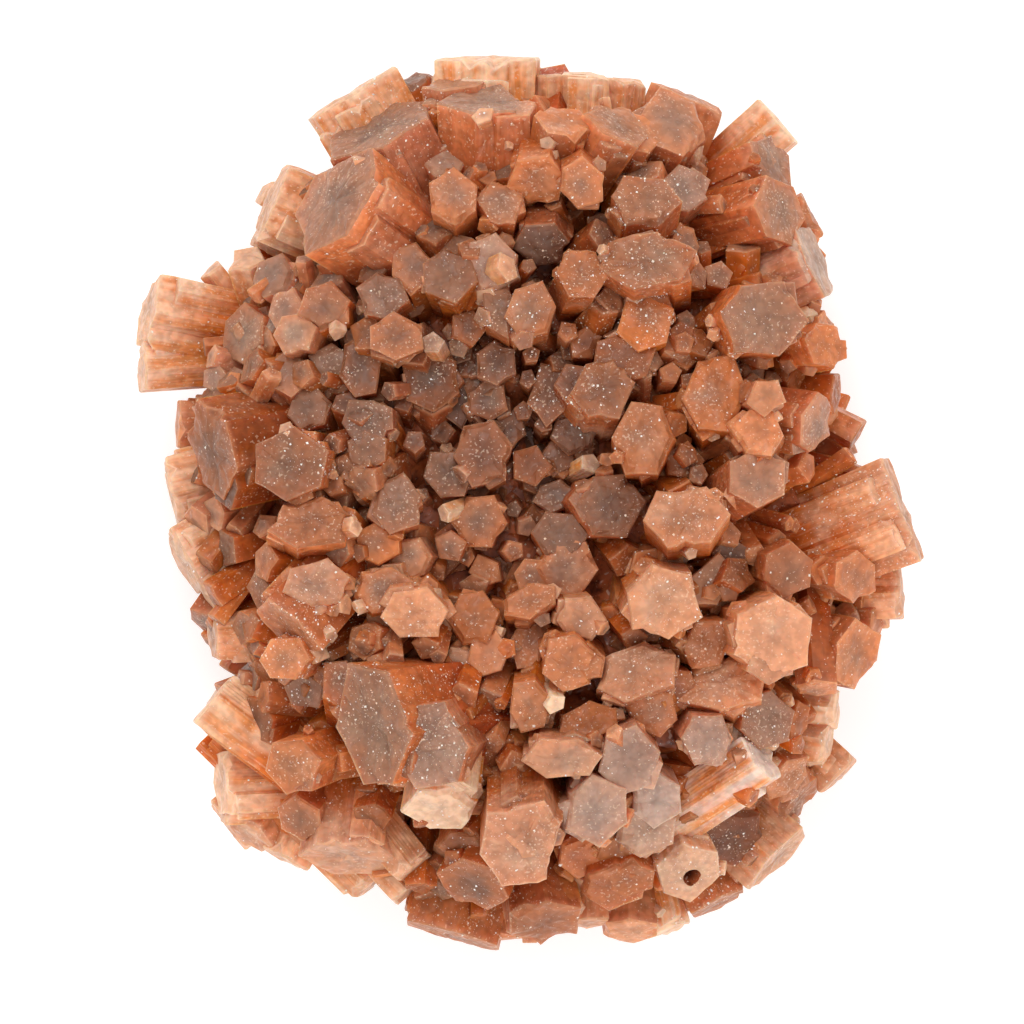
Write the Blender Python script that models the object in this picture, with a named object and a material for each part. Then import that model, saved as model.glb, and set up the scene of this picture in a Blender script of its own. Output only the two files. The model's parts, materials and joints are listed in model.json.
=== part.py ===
"""Aragonite cluster: six-sided twinned prisms grown out of one lump, cut flat below.

Metres, +Z up. The cluster rests on its flat base, its crystal-covered dome faces +Z.
The tables below are in millimetres, as the cluster is seen from straight above.
"""
import math
import random
from collections import namedtuple

import bmesh
import bpy
from mathutils import Matrix, Vector

NAME = "aragonite_cluster"
MM = 0.001

# The lump that the crystals grow from: half axes, height of its middle, bowl in its top.
CORE_HALF = (22.0, 27.5, 19.5)
CORE_MIDDLE_Z = 8.0
CORE_ROUGHNESS = 0.9
BOWL_DEPTH = 4.0
BOWL_RADIUS = 9.0

# Height of the crystal tips over the base, by distance from the middle (1 is the outline).
DOME_HALF = (29.0, 35.0)
DOME_PROFILE = ((0.0, 28.0), (0.25, 29.0), (0.45, 31.0), (0.6, 30.5), (0.75, 28.0),
                (0.88, 24.5), (1.0, 19.5), (1.2, 13.0))

HALF_WIDTH = 0.515         # corner radius of a prism that is one wide
ROOT_SCALE = 0.86          # a prism narrows a little from its tip to its root
ROOT_DEPTH = 2.5           # how far a root reaches into the lump
LONGEST = 17.0
CROWDING = 1.12            # the small crystals are this much wider than their free ends show
SMALL_WIDTH = 3.3          # narrower prisms have lost a side and show five
CORNER_JITTER = 0.09       # the hexagons are uneven by about this part of their radius
SEED = 31

# The crystals low on the sides, hidden from above: rows of height, reach, tilt, width, count.
SKIRT = ((14.0, 0.93, 84.0, 6.4, 16), (8.0, 0.93, 88.0, 7.0, 16), (2.8, 0.87, 94.0, 7.6, 14))
SKIRT_HALF = (28.5, 33.5)

Crystal = namedtuple("Crystal", "x y lift width stretch azimuth tilt twist")

# Crystals that lie flat round the outline, their tips pointing outwards.
RIM = (
    (-13.8, 33.0, 1.0, 8.6, 0.85, 121, 86, 30),
    (-3.2, 35.6, 1.0, 9.0, 0.80, 90, 87, 30),
    (1.8, 34.3, 0.5, 2.4, 1.30, 92, 86, 10),
    (4.7, 34.4, 0.5, 4.4, 1.10, 88, 86, 30),
    (7.9, 34.0, 0.3, 3.2, 1.20, 86, 86, 20),
    (13.2, 32.6, 0.0, 7.0, 0.85, 66, 85, 30),
    (20.2, 30.8, 0.5, 5.2, 0.95, 41, 86, 30),
    (23.3, 19.5, 2.0, 6.6, 0.95, 24, 72, 28),
    (23.0, 23.2, 0.0, 4.2, 0.90, 28, 84, 30),
    (23.4, 15.2, 0.0, 2.4, 1.10, 8, 76, 20),
    (30.3, -0.4, 4.0, 9.9, 0.76, 22, 84, 30),
    (30.1, -7.0, 1.5, 5.6, 0.90, 2, 85, 30),
    (28.3, -9.3, 0.5, 3.6, 0.90, -12, 66, 12),
    (24.9, -16.4, 0.0, 3.4, 1.00, -4, 80, 30),
    (24.2, -19.4, 0.5, 4.0, 0.90, -10, 76, 20),
    (25.1, -22.0, -1.0, 4.4, 0.90, -44, 82, 30),
    (21.9, -24.0, 0.0, 4.8, 0.90, -40, 72, 15),
    (20.2, -28.7, 1.0, 7.4, 0.85, -42, 78, 30),
    (15.4, -32.1, 0.0, 5.0, 0.90, -62, 80, 25),
    (11.3, -34.3, 0.0, 3.8, 0.90, -74, 80, 30),
    (8.4, -34.3, 1.0, 5.0, 0.90, -86, 62, 30),
    (-5.9, -34.6, -1.0, 8.6, 0.85, -106, 84, 28),
    (-2.0, -35.0, -2.0, 4.2, 0.90, -86, 84, 30),
    (5.0, -33.6, 0.0, 3.8, 0.90, -84, 76, 26),
    (-9.3, -31.0, -1.0, 3.4, 1.00, -46, 84, 30),
    (-9.0, -29.2, 0.5, 3.8, 1.00, -52, 80, 30),
    (-12.4, -30.6, -2.0, 3.8, 1.00, -44, 84, 30),
    (-19.2, -28.7, -1.0, 4.8, 0.90, -118, 82, 30),
    (-22.2, -26.6, 0.5, 4.0, 1.00, -126, 68, 20),
    (-23.9, -25.9, -2.0, 5.2, 0.90, -142, 84, 30),
    (-24.5, -22.4, 1.0, 6.0, 0.90, 182, 77, 30),
    (-25.0, -15.4, 1.5, 5.8, 0.95, 142, 86, 30),
    (-25.1, -10.7, 0.5, 4.3, 1.00, 182, 79, 30),
    (-25.6, -7.4, -1.0, 3.8, 0.95, 216, 80, 28),
    (-27.4, -4.8, 0.5, 5.8, 0.85, 211, 75, 30),
    (-28.5, 0.9, -0.5, 6.0, 0.85, 194, 85, 30),
    (-27.9, 6.4, -2.0, 4.4, 0.90, 179, 84, 30),
    (-30.3, 15.7, 4.0, 6.8, 0.90, 168, 77, 30),
    (-30.8, 10.8, 3.0, 4.0, 1.20, 183, 78, 30),
    (-25.3, 18.8, -0.5, 2.2, 1.10, 130, 76, 0),
    (-22.3, 19.6, 1.0, 3.2, 1.00, 106, 52, 10),
    (-20.4, 24.3, 1.5, 7.6, 0.80, 156, 81, 30),
    (-21.2, 25.0, -2.0, 2.4, 1.00, 150, 82, 30),
)

# The large crystals that stand over the others in a ring.
RING = (
    (-11.7, 30.1, 3.0, 10.4, 0.95, 117, 70, 20),
    (-15.0, 24.0, 5.0, 9.2, 0.92, 146, 54, 8),
    (-3.2, 32.2, 4.0, 7.4, 0.95, 90, 68, 12),
    (-5.8, 33.6, 3.0, 5.4, 0.95, 96, 76, 10),
    (3.0, 30.6, 5.0, 4.6, 0.95, 78, 52, 5),
    (0.9, 25.6, 2.5, 4.6, 1.05, -100, 28, 20),
    (7.2, 30.4, 4.5, 5.6, 0.95, 58, 58, 25),
    (11.8, 30.6, 4.0, 5.8, 1.20, 64, 42, 10),
    (9.0, 29.6, 3.2, 4.0, 1.20, 60, 46, 22),
    (20.4, 23.4, 4.5, 5.6, 1.10, 13, 52, 12),
    (19.8, 27.3, 3.8, 4.6, 1.10, 25, 58, 24),
    (18.7, 14.8, 6.5, 6.9, 1.10, 20, 16, 6),
    (24.0, 12.6, 5.0, 3.9, 1.25, 8, 42, 12),
    (23.3, 6.2, 3.0, 5.4, 1.05, -10, 55, 14),
    (18.5, 2.0, 3.5, 4.9, 1.10, 34, 26, 25),
    (12.6, -1.0, 5.0, 7.1, 0.76, 92, 12, 4),
    (6.6, -0.1, 2.8, 5.4, 1.02, 20, 12, 12),
    (9.4, 5.4, 4.0, 5.0, 1.28, 86, 8, 2),
    (10.8, -7.9, 5.0, 6.1, 1.02, -60, 10, 14),
    (19.7, -10.7, 5.5, 7.0, 0.98, -24, 15, 18),
    (20.9, -5.4, 2.0, 4.4, 1.10, -18, 28, 8),
    (26.3, -5.8, 3.5, 4.0, 1.40, -8, 46, 6),
    (26.5, -12.2, 4.5, 5.8, 1.00, -12, 46, 16),
    (23.1, -14.9, 3.0, 3.7, 1.00, -86, 66, 30),
    (8.2, -20.5, 4.0, 4.8, 1.18, -80, 12, 6),
    (3.0, -20.2, 4.0, 6.3, 0.54, -90, 12, 8),
    (5.5, -24.4, 5.0, 5.4, 1.02, -80, 12, 24),
    (-0.6, -27.2, 8.0, 6.6, 1.12, -88, 26, 8),
    (13.0, -29.5, 4.0, 5.5, 0.98, -66, 38, 16),
    (1.5, -33.6, 4.5, 6.2, 0.95, -78, 54, 18),
    (-4.2, -30.6, 3.5, 5.8, 0.98, -116, 46, 10),
    (-6.8, -24.4, 4.5, 6.0, 0.98, -98, 56, 12),
    (-7.7, -19.4, 7.0, 6.6, 0.96, 200, 12, 16),
    (-12.2, -17.6, 6.5, 11.0, 0.66, 188, 40, 24),
    (-14.2, -28.4, 3.5, 7.4, 0.90, -97, 65, 12),
    (-18.0, -25.2, 4.5, 4.0, 1.05, 232, 36, 10),
    (-18.7, -20.8, 5.5, 4.6, 1.05, 200, 32, 22),
    (-19.3, -12.4, 4.0, 3.6, 1.22, 200, 28, 8),
    (-19.0, -10.1, 3.0, 6.4, 0.85, 228, 62, 28),
    (-16.6, -6.5, 2.5, 5.7, 0.72, 96, 12, 10),
    (-17.0, -1.5, 2.8, 7.0, 0.64, 94, 14, 12),
    (-18.8, 3.0, 4.0, 6.0, 1.06, 170, 14, 6),
    (-25.1, 4.0, 4.0, 8.2, 0.92, 192, 60, 4),
    (4.4, 25.3, 4.5, 3.6, 1.22, -82, 14, 14),
    (9.4, 24.2, 4.5, 5.6, 0.82, 82, 30, 6),
    (9.5, 19.3, 5.0, 8.0, 0.64, 92, 16, 12),
    (4.5, 18.2, 4.0, 4.1, 1.14, 64, 16, 22),
    (-5.7, 24.4, 3.0, 4.1, 1.24, 100, 24, 20),
    (0.4, 15.2, 3.2, 4.3, 1.14, 80, 10, 20),
    (19.0, -20.2, 3.0, 4.6, 0.90, 34, 68, 26),
)

# The smaller crystals between them, and those down in the bowl in the middle.
HEART = (
    (-9.2, 34.0, 0.5, 3.2, 1.00, 106, 76, 10), (-6.9, 29.2, 0.5, 3.0, 0.95, 116, 52, 20),
    (-6.5, 27.5, 0.5, 3.2, 1.05, 92, 40, 5), (-2.1, 24.2, 2.0, 3.5, 1.15, 84, 30, 8),
    (1.3, 20.4, 0.5, 4.0, 0.95, -96, 24, 12), (-2.9, 19.0, 2.2, 4.2, 1.05, 96, 16, 8),
    (-6.1, 18.4, 2.2, 4.1, 1.06, 110, 20, 18), (-9.0, 18.9, 1.0, 3.2, 1.35, 108, 26, 6),
    (-2.0, 15.3, 2.4, 2.9, 1.35, 96, 12, 26), (12.5, 25.1, 1.8, 3.5, 1.15, 60, 26, 12),
    (13.0, 20.8, 0.0, 3.0, 0.80, 18, 34, 5), (13.9, 26.8, -3.0, 2.4, 1.00, 50, 40, 15),
    (15.4, 18.2, 0.0, 2.2, 1.00, 40, 24, 22), (-13.7, 14.3, -2.0, 3.4, 1.00, 130, 18, 12),
    (-10.3, 13.3, 2.6, 4.3, 0.76, 94, 8, 28), (-13.2, 11.0, 0.4, 3.2, 1.55, 96, 12, 10),
    (-15.5, 11.3, -0.6, 2.9, 1.15, 140, 18, 6), (-18.9, 10.5, 0.2, 3.0, 1.28, 104, 24, 22),
    (-17.3, 7.6, -0.5, 3.3, 0.95, 150, 20, 14), (-12.8, 6.6, 1.2, 3.5, 1.05, 150, 14, 8),
    (-12.7, 4.2, 1.4, 3.0, 1.00, 160, 14, 24), (-12.9, 2.6, 0.6, 3.3, 0.80, 96, 14, 12),
    (-25.0, 10.0, 0.5, 2.2, 1.15, 168, 44, 28), (-22.2, 7.3, -0.3, 2.7, 1.20, 160, 34, 8),
    (-25.0, -0.8, -0.5, 2.8, 1.00, 190, 56, 10), (-10.3, 0.0, 1.8, 3.7, 1.20, 92, 10, 16),
    (9.5, 14.6, 1.8, 4.1, 1.12, 84, 12, 26), (-4.6, 13.9, 0.6, 2.7, 0.95, 40, 10, 10),
    (4.7, 12.8, 0.4, 2.3, 1.10, 60, 12, 6), (7.7, 11.6, 1.6, 4.8, 0.78, 98, 12, 8),
    (-2.4, 11.2, 0.8, 3.0, 1.00, 100, 8, 24), (-7.6, 9.9, 0.2, 4.3, 1.10, 110, 10, 14),
    (-5.5, 8.2, -1.0, 2.3, 1.80, 96, 8, 26), (-3.2, 8.3, 0.2, 3.2, 0.98, 120, 8, 8),
    (1.8, 8.7, 0.9, 2.9, 1.75, 88, 8, 12), (6.1, 9.2, 3.6, 4.4, 1.08, 70, 18, 24),
    (3.6, 9.6, 2.0, 2.2, 1.50, 84, 20, 10), (3.9, 5.6, 0.4, 3.5, 0.82, 90, 8, 16),
    (-1.3, 5.9, -0.2, 2.6, 1.12, 90, 6, 22), (-3.4, 4.1, 2.2, 4.6, 1.08, 90, 6, 8),
    (0.4, 3.1, 0.8, 2.9, 0.98, 40, 6, 14), (2.6, 3.7, -0.2, 2.7, 1.00, 20, 8, 2),
    (-6.2, 2.4, 0.8, 3.6, 1.10, 130, 8, 26), (-3.7, -1.5, 1.4, 4.0, 0.98, 200, 8, 10),
    (2.4, 0.6, -0.2, 3.2, 0.72, 96, 8, 12), (12.6, 3.4, 0.4, 2.8, 0.95, 40, 14, 20),
    (24.8, 8.7, 0.5, 3.4, 0.95, -2, 76, 30), (15.1, 8.7, 1.6, 4.6, 1.35, 82, 14, 10),
    (19.1, 8.5, 5.0, 2.7, 1.08, 20, 12, 16), (18.5, 5.7, 4.0, 4.0, 0.92, 80, 14, 4),
    (22.6, 3.0, 1.0, 2.2, 1.00, 12, 54, 14), (24.0, -5.4, 1.2, 2.4, 1.30, -12, 36, 20),
    (16.2, -4.1, -0.6, 2.8, 1.00, -20, 14, 26), (2.6, -2.4, 1.8, 3.9, 0.95, 80, 8, 10),
    (3.2, -5.2, 1.4, 4.8, 0.95, -60, 8, 24), (0.6, -5.9, 1.0, 3.0, 0.95, 200, 10, 4),
    (-6.1, -3.4, 1.2, 2.4, 1.00, 200, 10, 12), (0.2, -7.7, 3.0, 4.3, 0.66, 104, 12, 26),
    (14.7, -6.2, 0.6, 2.7, 1.60, 60, 14, 6), (-4.2, -9.0, 1.6, 3.8, 1.14, 84, 10, 10),
    (-3.0, -12.0, 0.4, 3.0, 1.10, -96, 12, 20), (0.6, -10.8, -0.4, 3.1, 1.60, 70, 12, 14),
    (4.3, -9.3, 3.0, 3.4, 1.12, -50, 12, 22), (3.5, -12.7, 3.2, 4.4, 1.02, -80, 12, 6),
    (8.6, -13.2, 1.6, 6.2, 0.72, 104, 14, 12), (-5.1, -13.0, -0.6, 3.0, 1.00, -110, 14, 18),
    (-11.4, -6.9, 1.2, 4.9, 0.74, 94, 12, 8), (-9.2, -4.3, 0.6, 3.2, 1.00, 190, 12, 24),
    (-11.8, -3.1, 0.4, 3.2, 1.05, 180, 14, 2), (-20.7, -6.8, -1.5, 3.4, 1.00, 190, 34, 16),
    (-8.9, -8.8, 2.4, 5.0, 0.80, -96, 16, 12), (14.6, -11.3, 0.8, 3.9, 0.95, -40, 18, 8),
    (15.6, -14.3, 1.0, 6.4, 0.64, 96, 16, 20), (-17.7, -15.0, 0.0, 2.9, 1.10, 210, 28, 10),
    (-14.8, -14.3, 2.0, 2.9, 1.45, 96, 20, 26), (0.2, -16.0, 2.0, 3.0, 1.32, -92, 12, 14),
    (5.0, -17.3, 1.0, 4.8, 0.60, 100, 12, 22), (10.3, -23.6, 2.2, 3.9, 1.05, -70, 18, 10),
    (9.5, -26.1, 2.2, 4.4, 0.90, -80, 26, 16), (14.6, -18.9, 3.0, 3.7, 1.12, -50, 16, 20),
    (16.6, -17.4, -0.6, 2.5, 1.45, 84, 18, 28), (19.2, -17.2, 2.2, 4.2, 1.08, -24, 26, 12),
    (21.8, -17.6, 2.0, 3.4, 0.70, -12, 44, 24), (21.1, -22.2, 1.5, 4.4, 1.00, -42, 54, 6),
    (16.6, -26.8, 1.0, 5.2, 0.95, -58, 40, 14), (-12.3, -25.2, 1.5, 2.8, 1.05, -110, 36, 26),
    (-5.0, -27.7, 1.5, 4.0, 0.80, -100, 32, 8), (7.0, -30.6, 2.5, 5.2, 0.85, -84, 42, 18),
    (4.4, -28.2, 0.5, 3.6, 1.00, -80, 26, 12), (7.4, -27.8, 0.8, 3.4, 0.85, -80, 30, 4),
    (-20.3, 18.2, 1.0, 3.3, 1.10, 140, 46, 22), (-19.3, 15.6, 1.2, 3.1, 1.00, 148, 32, 12),
    (-16.1, 15.7, 2.0, 3.6, 1.04, 140, 18, 24), (-12.2, 18.7, 0.4, 2.5, 1.00, 120, 24, 6),
    (-11.4, 16.6, 1.6, 3.7, 1.05, 120, 18, 16), (-18.5, 13.6, 1.8, 3.2, 1.06, 150, 24, 10),
    (-22.6, 13.6, -0.5, 4.6, 1.00, 164, 48, 20), (-21.5, -17.2, 0.5, 3.6, 1.00, 196, 52, 12),
    (10.0, -16.6, 0.6, 3.8, 1.00, -70, 16, 26), (12.0, -14.8, 0.0, 3.0, 1.00, -50, 16, 8),
)


def clear_scene():
    for old in list(bpy.data.objects):
        bpy.data.objects.remove(old, do_unlink=True)


def collection(name):
    group = bpy.data.collections.new(name)
    bpy.context.scene.collection.children.link(group)
    return group


def dome_height(x, y):
    """Height of an ordinary crystal tip over the base, in mm."""
    reach = math.hypot(x / DOME_HALF[0], y / DOME_HALF[1])
    for (near, high), (far, low) in zip(DOME_PROFILE, DOME_PROFILE[1:]):
        if reach <= far:
            return high + (low - high) * (reach - near) / (far - near)
    return DOME_PROFILE[-1][1]


def in_core(point):
    ratio = [point[0] / CORE_HALF[0], point[1] / CORE_HALF[1],
             (point[2] - CORE_MIDDLE_Z) / CORE_HALF[2]]
    bowl = BOWL_DEPTH * math.exp(-(math.hypot(point[0], point[1]) / BOWL_RADIUS) ** 2)
    ratio[2] = (point[2] + bowl - CORE_MIDDLE_Z) / CORE_HALF[2]
    return sum(r * r for r in ratio) < 1.0


def axis_of(azimuth, tilt):
    around, lean = math.radians(azimuth), math.radians(tilt)
    return Vector((math.sin(lean) * math.cos(around),
                   math.sin(lean) * math.sin(around), math.cos(lean)))


def prism_length(tip, axis):
    """From the tip straight back into the lump."""
    for step in range(2, int(LONGEST * 2)):
        if in_core(tip - axis * (step / 2)):
            return step / 2 + ROOT_DEPTH
    return LONGEST


def prism_mesh(crystal, dice):
    """An uneven prism with a flat end square to its axis."""
    tip = Vector((crystal.x, crystal.y, dome_height(crystal.x, crystal.y) + crystal.lift))
    axis = axis_of(crystal.azimuth, crystal.tilt)
    along = axis_of(crystal.azimuth, crystal.tilt + 90)
    across = axis.cross(along)
    length = prism_length(tip, axis)
    sides = 5 if crystal.width < SMALL_WIDTH else 6
    reach = [1 + dice.uniform(-CORNER_JITTER, CORNER_JITTER) for _ in range(sides)]
    swing = [math.radians(crystal.twist + dice.uniform(-5, 5)) for _ in range(sides)]

    bm = bmesh.new()
    bmesh.ops.create_cone(bm, cap_ends=True, segments=sides, radius1=ROOT_SCALE, radius2=1.0,
                          depth=1.0)
    for vert in bm.verts:
        angle = math.atan2(vert.co.y, vert.co.x)
        corner = int(angle % math.tau * sides / math.tau + 0.1) % sides
        radius = math.hypot(vert.co.x, vert.co.y) * reach[corner] * crystal.width * HALF_WIDTH
        angle += swing[corner]
        vert.co = (math.cos(angle) * radius * crystal.stretch, math.sin(angle) * radius,
                   (vert.co.z - 0.5) * length)
    place = Matrix((along, across, axis)).transposed().to_4x4()
    place.translation = tip
    bmesh.ops.transform(bm, matrix=Matrix.Scale(MM, 4) @ place, verts=bm.verts)
    mesh = bpy.data.meshes.new("prism")
    bm.to_mesh(mesh)
    bm.free()
    return mesh


def skirt_crystals(dice):
    """Crystals round the lower sides, evenly spread with some disorder."""
    for height, reach, tilt, width, count in SKIRT:
        for k in range(count):
            around = 360 / count * (k + dice.uniform(-0.22, 0.22))
            x = SKIRT_HALF[0] * reach * math.cos(math.radians(around)) * dice.uniform(0.92, 1.0)
            y = SKIRT_HALF[1] * reach * math.sin(math.radians(around)) * dice.uniform(0.92, 1.0)
            lift = height + dice.uniform(-1.2, 1.2) - dome_height(x, y)
            yield Crystal(x, y, lift, width * dice.uniform(0.8, 1.2), dice.uniform(0.85, 1.15),
                          math.degrees(math.atan2(y, x)) + dice.uniform(-14, 14),
                          tilt + dice.uniform(-5, 5), dice.uniform(0, 60))


def crystal_rows(dice):
    """Every crystal, the small ones widened until they crowd one another."""
    rows = [Crystal(*row) for row in RIM + RING]
    rows += [row._replace(width=row.width * CROWDING) for row in map(Crystal._make, HEART)]
    return rows + list(skirt_crystals(dice))


def core_mesh(dice):
    """The lump: a low ellipsoid with a shallow bowl in its top."""
    bm = bmesh.new()
    bmesh.ops.create_icosphere(bm, subdivisions=2, radius=1.0)
    for vert in bm.verts:
        x, y, z = (vert.co[k] * CORE_HALF[k] for k in range(3))
        if z > 0:
            z -= BOWL_DEPTH * math.exp(-(math.hypot(x, y) / BOWL_RADIUS) ** 2)
        bump = 1 + dice.uniform(-1, 1) * CORE_ROUGHNESS / CORE_HALF[2]
        vert.co = Vector((x * bump, y * bump, z * bump + CORE_MIDDLE_Z)) * MM
    mesh = bpy.data.meshes.new(NAME)
    bm.to_mesh(mesh)
    bm.free()
    return mesh


def aragonite():
    """Frosted brown-orange aragonite."""
    material = bpy.data.materials.new("aragonite")
    material.use_nodes = True
    shader = material.node_tree.nodes["Principled BSDF"]
    shader.inputs["Base Color"].default_value = (0.45, 0.18, 0.09, 1.0)
    shader.inputs["Roughness"].default_value = 0.45
    shader.inputs["Metallic"].default_value = 0.0
    shader.inputs["Subsurface Weight"].default_value = 0.4
    shader.inputs["Subsurface Radius"].default_value = (0.004, 0.0015, 0.0006)
    material.diffuse_color = (0.45, 0.18, 0.09, 1.0)
    return material


def boolean(body, name, operation, solver):
    modifier = body.modifiers.new(name, "BOOLEAN")
    modifier.operation = operation
    modifier.solver = solver
    return modifier


def outer_skin(body):
    """Applies the modifiers and drops the skins of pockets sealed between crystals."""
    evaluated = body.evaluated_get(bpy.context.evaluated_depsgraph_get())
    bm = bmesh.new()
    bm.from_mesh(evaluated.to_mesh())
    evaluated.to_mesh_clear()
    islands = []
    left = set(bm.faces)
    while left:
        island = set()
        front = [left.pop()]
        while front:
            face = front.pop()
            island.add(face)
            for edge in face.edges:
                for other in edge.link_faces:
                    if other in left:
                        left.discard(other)
                        front.append(other)
        islands.append(island)
    biggest = max(islands, key=len)
    inner = [face for island in islands if island is not biggest for face in island]
    bmesh.ops.delete(bm, geom=inner, context="FACES")
    body.modifiers.clear()
    bm.to_mesh(body.data)
    bm.free()


def build():
    clear_scene()
    dice = random.Random(SEED)
    body_group = collection(NAME)
    tools = collection("grown_on_crystals")
    cuts = collection("cutters")
    body = bpy.data.objects.new(NAME, core_mesh(dice))
    body_group.objects.link(body)
    body.data.materials.append(aragonite())

    rows = crystal_rows(dice)
    for number, crystal in enumerate(rows):
        prism = bpy.data.objects.new(f"crystal_{number:03d}", prism_mesh(crystal, dice))
        prism.hide_render = True
        prism.display_type = "WIRE"
        tools.objects.link(prism)

    bpy.ops.mesh.primitive_cube_add(size=0.2, location=(0, 0, -0.1))
    below = bpy.context.object
    below.name = "ground_cut"
    below.hide_render = True
    below.display_type = "WIRE"
    for group in list(below.users_collection):
        group.objects.unlink(below)
    cuts.objects.link(below)

    grown = boolean(body, "crystals", "UNION", "EXACT")
    grown.operand_type = "COLLECTION"
    grown.collection = tools
    flat = boolean(body, "flat_base", "DIFFERENCE", "EXACT")
    flat.object = below
    outer_skin(body)


if __name__ == "__main__":
    build()
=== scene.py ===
"""The looks of the aragonite cluster: fine crystals, stained and dusted, on the CAD frame.

Metres, +Z up, seen from straight above. The tables are in millimetres.
"""

import json
import math
import random
from collections import namedtuple

import bmesh
import bpy
import numpy as np
from mathutils import Matrix, Vector, noise
from mathutils.bvhtree import BVHTree

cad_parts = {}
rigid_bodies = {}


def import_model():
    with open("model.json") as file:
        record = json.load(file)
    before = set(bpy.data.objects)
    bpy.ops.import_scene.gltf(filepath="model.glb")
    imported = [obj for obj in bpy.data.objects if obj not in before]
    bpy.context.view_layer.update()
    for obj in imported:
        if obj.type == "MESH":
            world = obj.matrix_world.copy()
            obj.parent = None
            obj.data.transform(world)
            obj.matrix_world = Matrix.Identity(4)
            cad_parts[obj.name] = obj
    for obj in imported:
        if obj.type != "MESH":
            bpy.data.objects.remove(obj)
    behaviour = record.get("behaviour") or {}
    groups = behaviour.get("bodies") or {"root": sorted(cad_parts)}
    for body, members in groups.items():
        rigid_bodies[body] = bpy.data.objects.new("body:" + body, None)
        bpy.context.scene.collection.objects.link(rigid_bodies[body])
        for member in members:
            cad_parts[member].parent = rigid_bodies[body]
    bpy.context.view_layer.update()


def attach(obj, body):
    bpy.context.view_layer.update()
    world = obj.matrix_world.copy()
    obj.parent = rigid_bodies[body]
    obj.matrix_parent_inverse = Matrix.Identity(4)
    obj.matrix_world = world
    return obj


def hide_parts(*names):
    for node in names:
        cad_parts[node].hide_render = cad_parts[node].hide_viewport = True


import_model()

MM = 0.001

# The same lump, dome and crystals as the solid part.
CORE_HALF = (22.0, 27.5, 19.5)
CORE_MIDDLE_Z = 8.0
CORE_DRAWS = 42            # random draws that the solid part spends on its lump
BOWL_DEPTH = 4.0
BOWL_RADIUS = 9.0
DOME_HALF = (29.0, 35.0)
DOME_PROFILE = ((0.0, 28.0), (0.25, 29.0), (0.45, 31.0), (0.6, 30.5), (0.75, 28.0),
                (0.88, 24.5), (1.0, 19.5), (1.2, 13.0))
HALF_WIDTH = 0.515
ROOT_SCALE = 0.86
ROOT_DEPTH = 2.5
LONGEST = 17.0
CROWDING = 1.12            # the small crystals of the heart are this much wider than read
SMALL_WIDTH = 3.3          # narrower crystals are simpler
CORNER_JITTER = 0.09
SEED = 31
SKIRT = ((14.0, 0.93, 84.0, 6.4, 16), (8.0, 0.93, 88.0, 7.0, 16), (2.8, 0.87, 94.0, 7.6, 14))
SKIRT_HALF = (28.5, 33.5)

# What the solid part leaves out: fine outlines, small crystals, grains.
FLUTE_SPACING = 0.75       # between the flutes down a prism's sides
FLUTE_DEPTH = 0.006        # of a prism's width
DEEPEST_FLUTE = 0.45
CAP_RELIEF = 0.045         # of a prism's width
BEVEL = 0.13               # round the rim of an end face
GROUND_HALF = (24.2, 29.4)
GROUND_UNDER_TIPS = 2.2
GROUND_ROUGHNESS = 1.7
DRUSE_TOP = 850
DRUSE_SIDES = 420
LONGEST_DRUSE = 6.0
NOTCH_CHANCE = 0.12        # for each side of a prism
BROKEN_PULL = 0.16         # how far in a broken corner goes, of the prism's half width
DEEPEST_CHIP = 1.1
TWIN_CHANCE = 0.4          # for each large prism
GUEST_LENGTH = 2.6
FLATTEST_HOST = 74         # prisms that lie flatter carry no askew guests
GRAIN_COUNT = 9500
RIM_GRAINS = 4500
GRAIN_HALF = 0.022         # of the finest loose flakes
RIM_GRAIN_HALF = 0.025
THIN_DUST = 0.14           # how likely a flake is to stay where little dust lies
THIN_RIM_DUST = 0.03
MILK_CURVE = 1.9           # above 1 keeps half-milky crystals orange

# The stage, in metres: the photograph's frame at the height of the crystal tips.
CAMERA_HEIGHT = 1.6
MIDDLE_HEIGHT = 0.02
VIEW_WIDTH = 0.08192
VIEW_CENTRE = (-0.00112, -0.00068)
WORLD_LIGHT = 0.84
BOARD_GLOW = 0.22
LIGHTS = (("key_box", (-0.15, 0.50, 0.70), 0.5, 3.2), ("near_box", (0.20, -0.55, 0.55), 0.6, 2.5))

Crystal = namedtuple("Crystal", "x y lift width stretch azimuth tilt twist")

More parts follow.
